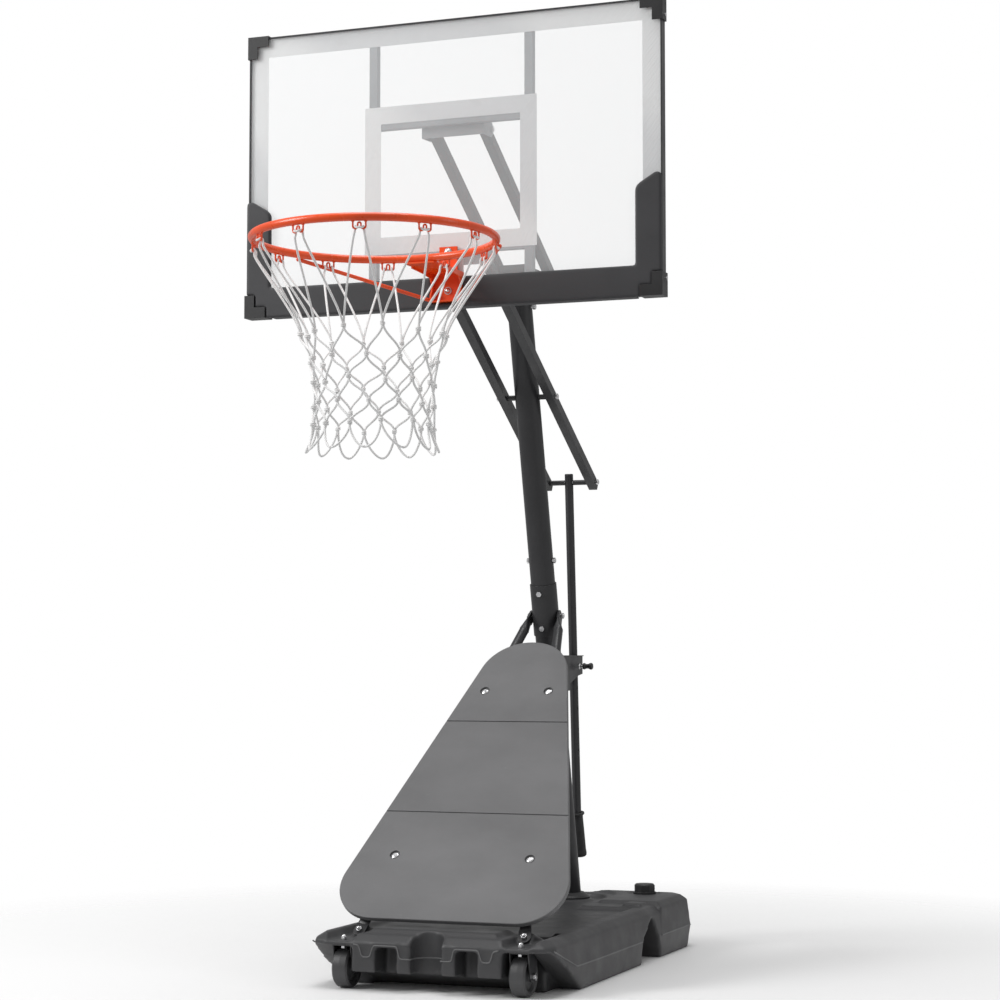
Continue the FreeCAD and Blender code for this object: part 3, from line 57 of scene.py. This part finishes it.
# ---------------------------------------------------------------- material tools
class Finish:
    """One procedural material: a Principled shader and short helpers that feed it."""

    def __init__(self, name, color, roughness, **sockets):
        self.material = bpy.data.materials.new(name)
        self.material.use_nodes = True
        self.tree = self.material.node_tree
        self.shader = self.tree.nodes["Principled BSDF"]
        self.shader.inputs["Base Color"].default_value = (*color, 1.0)
        self.shader.inputs["Roughness"].default_value = roughness
        for socket, value in sockets.items():
            self.shader.inputs[socket.replace("_", " ")].default_value = value
        self.place = self.add("ShaderNodeTexCoord").outputs["Object"]
        self.normal = None

    def add(self, kind, **settings):
        node = self.tree.nodes.new(kind)
        for key, value in settings.items():
            setattr(node, key, value)
        return node

    def feed(self, socket, source):
        self.tree.links.new(source, socket)

    def stretched(self, scale, turn=(0, 0, 0)):
        """The object's own coordinates, scaled apart along each axis."""
        node = self.add("ShaderNodeMapping")
        node.inputs["Scale"].default_value = scale
        node.inputs["Rotation"].default_value = turn
        self.feed(node.inputs["Vector"], self.place)
        return node.outputs["Vector"]

    def noise(self, scale, detail=3.0, roughness=0.55, place=None):
        node = self.add("ShaderNodeTexNoise")
        node.inputs["Scale"].default_value = scale
        node.inputs["Detail"].default_value = detail
        node.inputs["Roughness"].default_value = roughness
        self.feed(node.inputs["Vector"], place or self.place)
        return node.outputs["Fac"]

    def cells(self, scale, place=None):
        node = self.add("ShaderNodeTexVoronoi")
        node.inputs["Scale"].default_value = scale
        self.feed(node.inputs["Vector"], place or self.place)
        return node.outputs["Distance"]

    def remap(self, value, low, high, out_low, out_high):
        node = self.add("ShaderNodeMapRange")
        limits = {"From Min": low, "From Max": high, "To Min": out_low, "To Max": out_high}
        for key, number in limits.items():
            node.inputs[key].default_value = number
        self.feed(node.inputs["Value"], value)
        return node.outputs["Result"]

    def math(self, operation, first, second=None):
        node = self.add("ShaderNodeMath", operation=operation)
        for socket, value in zip(node.inputs, (first, second)):
            if value is None:
                continue
            if isinstance(value, (int, float)):
                socket.default_value = value
            else:
                self.feed(socket, value)
        return node.outputs[0]

    def blend(self, factor, first, second):
        """A colour between two colours, each a plain colour or another node's output."""
        node = self.add("ShaderNodeMix", data_type="RGBA")
        self.feed(node.inputs[0], factor)
        for socket, value in ((node.inputs[6], first), (node.inputs[7], second)):
            if isinstance(value, (tuple, list)):
                socket.default_value = (*value[:3], 1.0)
            else:
                self.feed(socket, value)
        return node.outputs[2]

    def bevelled(self, radius):
        node = self.add("ShaderNodeBevel", samples=BEVEL_SAMPLES)
        node.inputs["Radius"].default_value = radius
        return node.outputs["Normal"]

    def soften(self, radius):
        """Rounds the shading of hard edges."""
        self.normal = self.bevelled(radius)
        return self

    def bump(self, height, distance, strength=1.0):
        node = self.add("ShaderNodeBump")
        node.inputs["Distance"].default_value = distance
        node.inputs["Strength"].default_value = strength
        self.feed(node.inputs["Height"], height)
        if self.normal is not None:
            self.feed(node.inputs["Normal"], self.normal)
        self.normal = node.outputs["Normal"]
        return self

    def edges(self, radius):
        """A mask that is 1 on sharp edges, from how far the rounded normal leaves the true one."""
        rounded = self.bevelled(radius)
        true = self.add("ShaderNodeNewGeometry").outputs["Normal"]
        dot = self.add("ShaderNodeVectorMath", operation="DOT_PRODUCT")
        self.feed(dot.inputs[0], rounded)
        self.feed(dot.inputs[1], true)
        return self.remap(dot.outputs["Value"], 0.99, 0.80, 0.0, 1.0)

    def done(self, color=None, roughness=None):
        if color is not None:
            self.feed(self.shader.inputs["Base Color"], color)
        if roughness is not None:
            self.feed(self.shader.inputs["Roughness"], roughness)
        if self.normal is not None:
            self.feed(self.shader.inputs["Normal"], self.normal)
        return self.material


def scaled(color, factor):
    return tuple(min(1.0, channel * factor) for channel in color)


def powder_coat(name, color, roughness, worn, edge=0.0008, **sockets):
    """Baked powder paint: fine orange peel, faint cloudiness and rubbed edges."""
    f = Finish(name, color, roughness, **sockets).soften(edge)
    cloud = f.noise(9, 4)
    base = f.blend(f.remap(cloud, 0.3, 0.7, 0, 1), scaled(color, 0.88), scaled(color, 1.14))
    speck = f.remap(f.noise(420, 2), 0.60, 0.74, 0, 0.35)
    base = f.blend(speck, base, scaled(color, 1.5))
    rub = f.math("MULTIPLY", f.edges(edge * 1.6), f.remap(f.noise(60, 4), 0.35, 0.7, 0.15, 0.7))
    base = f.blend(rub, base, worn)
    f.bump(f.noise(850, 2), 0.00006, 0.8)
    shine = f.remap(f.noise(24, 3), 0.3, 0.7, roughness - 0.06, roughness + 0.07)
    return f.done(base, shine)


def moulded(name, color, roughness, grain=1300, depth=0.00007, edge=0.0012, **sockets):
    """Moulded plastic: a spark-eroded grain, soft flow marks, and lighter scuffed edges."""
    f = Finish(name, color, roughness, **sockets).soften(edge)
    flow = f.noise(3.5, 5, place=f.stretched((1, 1, 2.2)))
    base = f.blend(f.remap(flow, 0.3, 0.7, 0, 1), scaled(color, 0.86), scaled(color, 1.16))
    scuff = f.remap(f.noise(55, 6, 0.7, f.stretched((1, 3.5, 1), (0.2, 0.1, 0.6))), 0.62, 0.78, 0, 0.22)
    base = f.blend(scuff, base, scaled(color, 1.9))
    rub = f.math("MULTIPLY", f.edges(edge * 1.5), f.remap(f.noise(45, 4), 0.3, 0.7, 0.1, 0.45))
    base = f.blend(rub, base, scaled(color, 2.1))
    f.bump(f.cells(grain), depth, 0.9).bump(f.noise(grain * 0.35, 3), depth * 1.2, 0.6)
    shine = f.remap(f.noise(18, 4), 0.3, 0.7, roughness - 0.05, roughness + 0.08)
    return f.done(base, shine)


def zinc_plate(name="zinc_plate"):
    """Bright zinc: fine wire-drawn scratches and cloudy passivation."""
    f = Finish(name, (0.78, 0.78, 0.79), 0.26, Metallic=1.0).soften(0.0006)
    cloud = f.remap(f.noise(90, 4), 0.3, 0.7, 0, 1)
    base = f.blend(cloud, (0.66, 0.66, 0.68), (0.86, 0.86, 0.86))
    f.bump(f.noise(260, 2, place=f.stretched((1, 1, 6))), 0.00001, 0.5)
    return f.done(base, f.remap(f.noise(60, 3), 0.3, 0.7, 0.20, 0.32))


def rubber(name="grip_rubber"):
    f = Finish(name, (0.022, 0.022, 0.023), 0.62).soften(0.0008)
    cloud = f.remap(f.noise(40, 4), 0.3, 0.7, 0, 1)
    base = f.blend(cloud, (0.016, 0.016, 0.017), (0.035, 0.035, 0.036))
    f.bump(f.cells(900), 0.00009, 0.8)
    return f.done(base, f.remap(f.noise(60, 3), 0.3, 0.7, 0.54, 0.72))


def clear_plastic(name="clear_polycarbonate", painted_reflection_veil=0.2):
    """A thin clear sheet whose faint white veil over what lies behind it is a painted reflection of the
    bright studio.
    """
    # The partly opaque white of this sheet is a painted reflection of the bright studio.
    f = Finish(name, (0.94, 0.96, 0.97), 0.04, Alpha=painted_reflection_veil)
    f.bump(f.noise(7, 2), 0.0003, 0.25)
    return f.done(None, f.remap(f.noise(30, 5), 0.35, 0.75, 0.02, 0.09))


REFLECTION_BAND_SLOPE = 0.8
REFLECTION_BAND_PITCH = 9.0


def screen_print(name="white_print"):
    """White ink on the back of the sheet: even, with broad soft bands of painted reflection across it.
    """
    f = Finish(name, (0.86, 0.86, 0.855), 0.32, Coat_Weight=0.3, Coat_Roughness=0.05)
    axes = f.add("ShaderNodeSeparateXYZ")
    f.feed(axes.inputs["Vector"], f.place)
    # Slanted bands of lighter and darker white in the colour: a painted reflection on the print.
    slant = f.math("ADD", f.math("MULTIPLY", axes.outputs["X"], REFLECTION_BAND_SLOPE), axes.outputs["Z"])
    painted_reflection_band = f.remap(f.math("SINE", f.math("MULTIPLY", slant, REFLECTION_BAND_PITCH)), -0.2, 0.5, 0, 1)
    base = f.blend(painted_reflection_band, (0.80, 0.805, 0.81), (0.93, 0.93, 0.925))
    grain = f.remap(f.noise(700, 2), 0.35, 0.65, 0, 0.25)
    base = f.blend(grain, base, (0.74, 0.75, 0.76))
    f.bump(f.noise(700, 2), 0.00003, 0.5)
    return f.done(base, f.remap(f.noise(20, 3), 0.3, 0.7, 0.26, 0.4))


BRAID_STRANDS = 4
BRAID_LENGTH = 6 * MM


def braided_cord(name="braided_cord"):
    """White braided cord: crossing strands wound both ways round the cord, read from its UV map."""
    f = Finish(name, (0.94, 0.94, 0.935), 0.75, Sheen_Weight=0.5, Sheen_Roughness=0.4)
    uv = f.add("ShaderNodeUVMap", uv_map="cord_uv").outputs["UV"]
    axes = f.add("ShaderNodeSeparateXYZ")
    f.feed(axes.inputs["Vector"], uv)
    around = f.math("MULTIPLY", axes.outputs["X"], BRAID_STRANDS * FULL_TURN)
    along = f.math("MULTIPLY", axes.outputs["Y"], FULL_TURN / BRAID_LENGTH)
    one = f.math("SINE", f.math("ADD", around, along))
    two = f.math("SINE", f.math("SUBTRACT", around, along))
    weave = f.math("MAXIMUM", one, two)
    dirt = f.remap(f.noise(35, 4), 0.45, 0.75, 0, 0.25)
    # The grooves between the strands are painted darker than their crowns: painted shade.
    base = f.blend(f.remap(weave, -0.2, 0.7, 0, 1), (0.74, 0.74, 0.74), (0.97, 0.97, 0.965))
    base = f.blend(dirt, base, (0.82, 0.81, 0.79))
    f.bump(weave, 0.0003, 0.7).bump(f.noise(2200, 2), 0.00012, 0.6)
    return f.done(base)


ORANGE = (0.86, 0.078, 0.007)
RUBBED_ORANGE = (0.70, 0.12, 0.03)
MATERIALS = {
    "black_steel": powder_coat("black_powder_coat", (0.026, 0.026, 0.028), 0.36, (0.16, 0.16, 0.165)),
    "grey_steel": powder_coat("grey_powder_coat", (0.30, 0.31, 0.32), 0.42, (0.5, 0.5, 0.5)),
    "tank_plastic": moulded("tank_polyethylene", (0.040, 0.040, 0.042), 0.46, 900, 0.00010, 0.0030),
    "panel_plastic": moulded("panel_plastic", (0.135, 0.135, 0.138), 0.50, 1100, 0.00008, 0.0014),
    "black_plastic": moulded("black_plastic", (0.017, 0.017, 0.018), 0.40, 1500, 0.00005, 0.0008),
    "wheel_plastic": moulded("wheel_plastic", (0.052, 0.052, 0.054), 0.42, 1300, 0.00006, 0.0010),
    "pad_plastic": moulded("pad_plastic", (0.034, 0.034, 0.037), 0.50, 1000, 0.00009, 0.0014),
    "grip_rubber": rubber(),
    "zinc": zinc_plate(),
    "clear_sheet": clear_plastic(),
    "white_print": screen_print(),
    "rim_orange": powder_coat("orange_powder_coat", ORANGE, 0.28, RUBBED_ORANGE, 0.0006,
                              Coat_Weight=0.1, Coat_Roughness=0.12),
    "net_cord": braided_cord(),
}

for part in frame["record"]["subparts"]:
    mesh = NODES[part["node"]].data
    mesh.materials.clear()
    mesh.materials.append(MATERIALS[part["material_slot"]])

# ---------------------------------------------------------------- mesh tools


def new_piece(name, mesh, body, slot, *replaced):
    """A finished mesh as a piece of the object, riding on a body."""
    obj = bpy.data.objects.new(name, mesh)
    bpy.context.scene.collection.objects.link(obj)
    mesh.materials.clear()
    mesh.materials.append(MATERIALS[slot])
    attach(obj, body)
    if replaced:
        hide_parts(*replaced)
    return obj


def smooth_faces(mesh):
    for face in mesh.polygons:
        face.use_smooth = True


def bezier(p0, p1, p2, p3, count):
    """Points on a cubic curve, without its last point."""
    points = []
    for i in range(count):
        t = i / count
        s = 1 - t
        points.append(p0 * s ** 3 + p1 * (3 * s * s * t) + p2 * (3 * s * t * t) + p3 * t ** 3)
    return points


def add_tube(bm, points, radius, sides):
    """A closed round tube along points, with U once round it and V its length in metres."""
    uv_layer = bm.loops.layers.uv.get("cord_uv") or bm.loops.layers.uv.new("cord_uv")
    rings, lengths, total = [], [], 0.0
    ahead = (points[1] - points[0]).normalized()
    side = ahead.orthogonal().normalized()
    for i, point in enumerate(points):
        before, after = points[max(i - 1, 0)], points[min(i + 1, len(points) - 1)]
        tangent = (after - before).normalized()
        side = (side - tangent * side.dot(tangent)).normalized()
        other = tangent.cross(side)
        if i:
            total += (point - points[i - 1]).length
        ring = []
        for k in range(sides):
            angle = FULL_TURN * k / sides
            out = side * math.cos(angle) + other * math.sin(angle)
            ring.append(bm.verts.new(point + out * radius))
        rings.append(ring)
        lengths.append(total)
    for i in range(len(rings) - 1):
        for k in range(sides):
            nxt = (k + 1) % sides
            face = bm.faces.new((rings[i][k], rings[i][nxt], rings[i + 1][nxt], rings[i + 1][k]))
            face.smooth = True
            spots = ((k, i), (k + 1, i), (k + 1, i + 1), (k, i + 1))
            for loop, (turn, row) in zip(face.loops, spots):
                loop[uv_layer].uv = (turn / sides, lengths[row])
    bm.faces.new(rings[0][::-1])
    bm.faces.new(rings[-1])


def mesh_of(bm, name):
    mesh = bpy.data.meshes.new(name)
    bm.normal_update()
    bm.to_mesh(mesh)
    bm.free()
    return mesh


def remoulded(node, name, body, slot, voxel, rounds, keep):
    """A copy of a CAD solid with every edge softened, as it comes out of its mould."""
    copy = bpy.data.objects.new("work", NODES[node].data.copy())
    bpy.context.scene.collection.objects.link(copy)
    remesh = copy.modifiers.new("Remesh", "REMESH")
    remesh.mode = "VOXEL"
    remesh.voxel_size = voxel
    soft = copy.modifiers.new("Soft", "SMOOTH")
    soft.factor = 0.5
    soft.iterations = rounds
    thin = copy.modifiers.new("Thin", "DECIMATE")
    thin.ratio = keep
    graph = bpy.context.evaluated_depsgraph_get()
    mesh = bpy.data.meshes.new_from_object(copy.evaluated_get(graph))
    bpy.data.objects.remove(copy)
    smooth_faces(mesh)
    return new_piece(name, mesh, body, slot, node)


# ---------------------------------------------------------------- net
HOOKS = 12
FIRST_HOOK = math.radians(17.3)
STEP = FULL_TURN / HOOKS
CORD = 2.2 * MM
CORD_SIDES = 10
WRAP = 1.7 * MM
WRAP_SIDES = 8
WRAP_TURNS = 2.25
WRAP_TALL = 6.5 * MM
WRAP_STEPS = 32
ring_low, ring_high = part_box("rim_ring")
hook_low, hook_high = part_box("net_hooks")
net_low, net_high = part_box("net")
rim_centre = (ring_low + ring_high) / 2
rim_radius = (ring_high.x - ring_low.x) / 2 - (ring_high.z - ring_low.z) / 2
net_top_radius = (net_high.x - net_low.x) / 2
net_tall = net_high.z - net_low.z
# Each row of knots: how far down the net it lies, and its radius as a share of the net's mouth.
ROWS = ((0.414, 0.622), (0.543, 0.552), (0.657, 0.522), (0.765, 0.508), (0.862, 0.516))
LOOP_RADIUS_SHARE = 0.57


def outward(angle):
    return Vector((math.cos(angle), math.sin(angle), 0))


def sideways(angle):
    return Vector((-math.sin(angle), math.cos(angle), 0))


def around_rim(angle, radius, height):
    x = rim_centre.x + radius * math.cos(angle)
    y = rim_centre.y + radius * math.sin(angle)
    return Vector((x, y, height))


def shake(size):
    return chance.uniform(-size, size)


knots = []
for row, (drop, share) in enumerate(ROWS):
    shift = STEP / 2 if row % 2 == 0 else 0.0
    ring = []
    for k in range(HOOKS):
        angle = FIRST_HOOK + STEP * k + shift + shake(math.radians(2.2))
        radius = net_top_radius * share + shake(3 * MM)
        ring.append((angle, radius, net_high.z - net_tall * drop + shake(4 * MM)))
    knots.append(ring)
loop_ends = []
for k in range(HOOKS):
    angle = FIRST_HOOK + STEP * k + shake(math.radians(2.5))
    radius = net_top_radius * LOOP_RADIUS_SHARE + shake(4 * MM)
    loop_ends.append((angle, radius, net_low.z + CORD + abs(shake(5 * MM))))


def strand(hook, way):
    """The marks of one cord from its hook down to the bottom loop, always moving the same way."""
    marks = []
    for row, ring in enumerate(knots):
        moved = (row + 1) // 2 if way > 0 else (row + 2) // 2
        angle, radius, height = ring[(hook + moved * way) % HOOKS]
        marks.append(around_rim(angle, radius + CORD * 0.75 * way, height))
    angle, radius, height = loop_ends[(hook + 3 * way) % HOOKS]
    marks.append(around_rim(angle, radius, height))
    return marks


# The three kinds of span of a cord: how far it bows, how far its curve's handles reach as shares of
# the span, and its steps. The first span is long and tight, and the last turns into the loop.
FIRST_SPAN = (0.012, 0.06, 0.16, 22)
MESH_SPAN = (0.035, 0.34, 0.34, 12)
LOOP_SPAN = (0.035, 0.34, 0.24, 12)


def run_down(start, leave, marks, way):
    """A cord's path from its hook through its knots to the bottom of its loop."""
    kinds = [FIRST_SPAN] + [MESH_SPAN] * (len(marks) - 2) + [LOOP_SPAN]
    points = []
    here, tangent = start, leave
    for mark, kind in zip(marks, kinds):
        bow_share, leave_share, arrive_share, steps = kind
        span = (mark - here).length
        if kind is LOOP_SPAN:
            arrive = sideways(math.atan2(mark.y - rim_centre.y, mark.x - rim_centre.x)) * way
        else:
            arrive = Vector((0, 0, -1))
        bow = Vector((shake(1.0), shake(1.0), 0)) * span * bow_share
        points += bezier(here, here + tangent * span * leave_share + bow,
                         mark - arrive * span * arrive_share + bow, mark, steps)
        here, tangent = mark, arrive
    return points + [here]


# Half of the cord's way over a hook, in millimetres along, out of and up from the hook's foot.
HALF_BIGHT = ((-9.5, -3.4, -6.0), (-7.8, -4.0, 2.0), (-7.5, -1.4, 5.8),
              (-7.0, 2.2, 4.6), (-3.6, 4.6, 3.2), (0.0, 5.0, 3.0))


def hook_bight(hook):
    """The cord's path over both loops of one W hook, from its left side to its right."""
    angle = FIRST_HOOK + STEP * hook
    out, side, up = outward(angle), sideways(angle), Vector((0, 0, 1))
    base = around_rim(angle, rim_radius, hook_low.z)
    left = [base + side * (x * MM) + out * (y * MM) + up * (z * MM) for x, y, z in HALF_BIGHT]
    right = [base - side * (x * MM) + out * (y * MM) + up * (z * MM) for x, y, z in HALF_BIGHT[-2::-1]]
    return left + right


def rounded_path(points):
    """A smooth path through every point."""
    count = 4
    path = []
    for i in range(len(points) - 1):
        before = points[max(i - 1, 0)]
        after = points[min(i + 2, len(points) - 1)]
        a, b = points[i], points[i + 1]
        path += bezier(a, a + (b - before) / 6, b - (after - a) / 6, b, count)
    return path + [points[-1]]


cords = bmesh.new()
for hook in range(HOOKS):
    bight = rounded_path(hook_bight(hook))
    left = run_down(bight[0], (bight[0] - bight[1]).normalized(), strand(hook, -1), -1)
    right = run_down(bight[-1], (bight[-1] - bight[-2]).normalized(), strand(hook, 1), 1)
    add_tube(cords, left[:0:-1] + bight + right[1:], CORD, CORD_SIDES)
new_piece("net_cords", mesh_of(cords, "net_cords"), "board", "net_cord", "net")

wraps = bmesh.new()
for row in knots:
    for angle, radius, height in row:
        centre = around_rim(angle, radius, height)
        out = outward(angle) * (CORD * 1.75 + WRAP * 0.6)
        side = sideways(angle) * (CORD + WRAP * 0.6)
        start = shake(math.pi)
        path = []
        for i in range(WRAP_STEPS + 1):
            t = i / WRAP_STEPS
            turn = start + FULL_TURN * WRAP_TURNS * t
            rise = Vector((0, 0, (t - 0.5) * WRAP_TALL))
            path.append(centre + out * math.cos(turn) + side * math.sin(turn) + rise)
        add_tube(wraps, path, WRAP, WRAP_SIDES)
new_piece("net_knots", mesh_of(wraps, "net_knots"), "board", "net_cord")

# ---------------------------------------------------------------- welds on the rim
WELD_SIDE = 12 * MM
WELD_WIDTH = 3.0 * MM
WELD_HEIGHT = 1.7 * MM
WELD_SINK = 0.3 * MM
welds = bmesh.new()


def add_weld(bm, spot, width, height):
    """A small lumpy bead of weld."""
    made = bmesh.ops.create_icosphere(bm, subdivisions=3, radius=1.0)
    for vert in made["verts"]:
        lump = 1 + 0.10 * noise.noise(vert.co * 2.3 + spot * 90)
        vert.co = spot + Vector((vert.co.x * width, vert.co.y * width, vert.co.z * height)) * lump


for k in range(HOOKS):
    angle = FIRST_HOOK + STEP * k
    middle = around_rim(angle, rim_radius, ring_low.z - WELD_SINK)
    for way in (-1, 1):
        add_weld(welds, middle + sideways(angle) * (WELD_SIDE * way), WELD_WIDTH, WELD_HEIGHT)
weld_mesh = mesh_of(welds, "hook_welds")
smooth_faces(weld_mesh)
new_piece("hook_welds", weld_mesh, "board", "rim_orange")

# ---------------------------------------------------------------- parting bead of the tank
# Places on the tank's skin in millimetres. The line runs level round the sides and back, climbs to the
# front corners, and steps up and down along the front.
BEAD_RADIUS = 1.5 * MM
BEAD_STEP = 3.5 * MM
SIDE_X, SIDE_Z = 270.0, 50
FRONT_Y = -592.2
CHANNEL_HALF, CHANNEL_Y, CHANNEL_Z = 33, -580, 68
CASTLE = ((158, 94), (146, 92), (139, 69), (122, 69), (114, 93), (62, 93), (56, 68), (33, 68))
# The bead is the tank's own plastic painted lighter: a painted highlight along its ridge.
highlit_bead_finish = moulded("bead_polyethylene_painted_highlight", (0.11, 0.11, 0.112), 0.44, 900, 0.00005, 0.0006)
bead = bmesh.new()


def add_bead(path):
    """A fine round bead through straight runs, its corners turned in a few short steps."""
    spots = [Vector(point) * MM for point in path]
    points = [spots[0]]
    for a, b in zip(spots, spots[1:]):
        count = max(2, int((b - a).length / BEAD_STEP))
        points += [a.lerp(b, i / count) for i in range(1, count + 1)]
    for _ in range(2):
        points = [points[0]] + [(points[i - 1] + points[i] * 2 + points[i + 1]) / 4
                                for i in range(1, len(points) - 1)] + [points[-1]]
    add_tube(bead, points, BEAD_RADIUS, 8)


for way in (-1, 1):
    add_bead([(263.5 * way, -560, 93), (269.6 * way, -440, SIDE_Z + 1),
              (SIDE_X * way, -300, SIDE_Z), (SIDE_X * way, -3, SIDE_Z)])
    add_bead([(270.2 * way, 139, SIDE_Z), (270.2 * way, 366, SIDE_Z)])
    add_bead([(x * way, FRONT_Y, z) for x, z in CASTLE])
channel = [(-CHANNEL_HALF, -592, CHANNEL_Z)]
for degrees in range(-88, 89, 11):
    turn = math.radians(degrees)
    channel.append((CHANNEL_HALF * math.sin(turn), CHANNEL_Y + CHANNEL_HALF * math.cos(turn), CHANNEL_Z))
channel.append((CHANNEL_HALF, -592, CHANNEL_Z))
add_bead(channel)
add_bead([(-232, 403.6, SIDE_Z), (232, 403.6, SIDE_Z)])
bead_mesh = mesh_of(bead, "tank_parting_bead")
bead_piece = new_piece("tank_parting_bead", bead_mesh, "base", "tank_plastic")
# The bead gets the lighter copy of the tank plastic, a painted highlight.
bead_piece.data.materials.clear()
bead_piece.data.materials.append(highlit_bead_finish)

# ---------------------------------------------------------------- moulded parts
remoulded("base_tank", "tank_moulding", "base", "tank_plastic", 3.5 * MM, 5, 0.5)
pad = remoulded("edge_pad", "edge_pad_moulding", "board", "pad_plastic", 2.5 * MM, 3, 0.5)

# ---------------------------------------------------------------- floor, light and camera
FLOOR_HALF = 6
FADE_START, FADE_END = 0.75, 1.9
corners = [(x * FLOOR_HALF, y * FLOOR_HALF, 0) for x, y in ((-1, -1), (1, -1), (1, 1), (-1, 1))]
floor_mesh = bpy.data.meshes.new("floor")
floor_mesh.from_pydata(corners, [], [(0, 1, 2, 3)])
floor = bpy.data.objects.new("floor", floor_mesh)
bpy.context.scene.collection.objects.link(floor)
floor_finish = Finish("studio_floor", (0.92, 0.92, 0.92), 0.55)
tone = floor_finish.blend(floor_finish.noise(0.7, 3), (0.915, 0.915, 0.915), (0.93, 0.93, 0.93))
spread = floor_finish.add("ShaderNodeVectorMath", operation="LENGTH")
floor_finish.feed(spread.inputs[0], floor_finish.place)
fade = floor_finish.remap(spread.outputs["Value"], FADE_START, FADE_END, 1.0, 0.0)
floor_finish.feed(floor_finish.shader.inputs["Alpha"], fade)
floor_mesh.materials.append(floor_finish.done(tone))
floor.location.z = -0.3 * MM

world = bpy.data.worlds.new("studio")
world.use_nodes = True
sky = world.node_tree
for name, strength in (("Seen", 1.0), ("Lit", 0.42)):
    background = sky.nodes.new("ShaderNodeBackground")
    background.name = name
    background.inputs["Color"].default_value = (1, 1, 1, 1)
    background.inputs["Strength"].default_value = strength
choose = sky.nodes.new("ShaderNodeMixShader")
ray = sky.nodes.new("ShaderNodeLightPath")
sky.links.new(ray.outputs["Is Camera Ray"], choose.inputs[0])
sky.links.new(sky.nodes["Lit"].outputs[0], choose.inputs[1])
sky.links.new(sky.nodes["Seen"].outputs[0], choose.inputs[2])
sky.links.new(choose.outputs[0], sky.nodes["World Output"].inputs["Surface"])
bpy.context.scene.world = world
bpy.context.scene.view_settings.view_transform = "Standard"


def softbox(name, place, target, width, height, power):
    data = bpy.data.lights.new(name, "AREA")
    data.shape = "RECTANGLE"
    data.size, data.size_y = width, height
    data.energy = power
    lamp = bpy.data.objects.new(name, data)
    bpy.context.scene.collection.objects.link(lamp)
    lamp.location = place
    lamp.rotation_euler = (Vector(target) - Vector(place)).to_track_quat("-Z", "Y").to_euler()


softbox("key", (-3.6, -3.0, 3.4), (0, -0.2, 0.9), 1.6, 2.6, 150)
softbox("side", (3.4, -0.6, 2.2), (0, -0.2, 1.0), 0.7, 2.4, 9)
softbox("top", (0, -0.6, 4.8), (0, -0.2, 0), 2.4, 2.4, 95)

CAMERA_PLACE = (1.845, -4.980, 0.678)
CAMERA_YAW, CAMERA_PITCH = 21.0, 3.78
camera_data = bpy.data.cameras.new("camera")
camera_data.sensor_width = 36.0
camera_data.lens = 84.62
camera_data.clip_end = 200
camera = bpy.data.objects.new("camera", camera_data)
bpy.context.scene.collection.objects.link(camera)
camera.location = CAMERA_PLACE
camera.rotation_euler = (math.radians(90 + CAMERA_PITCH), 0, math.radians(CAMERA_YAW))
bpy.context.scene.camera = camera
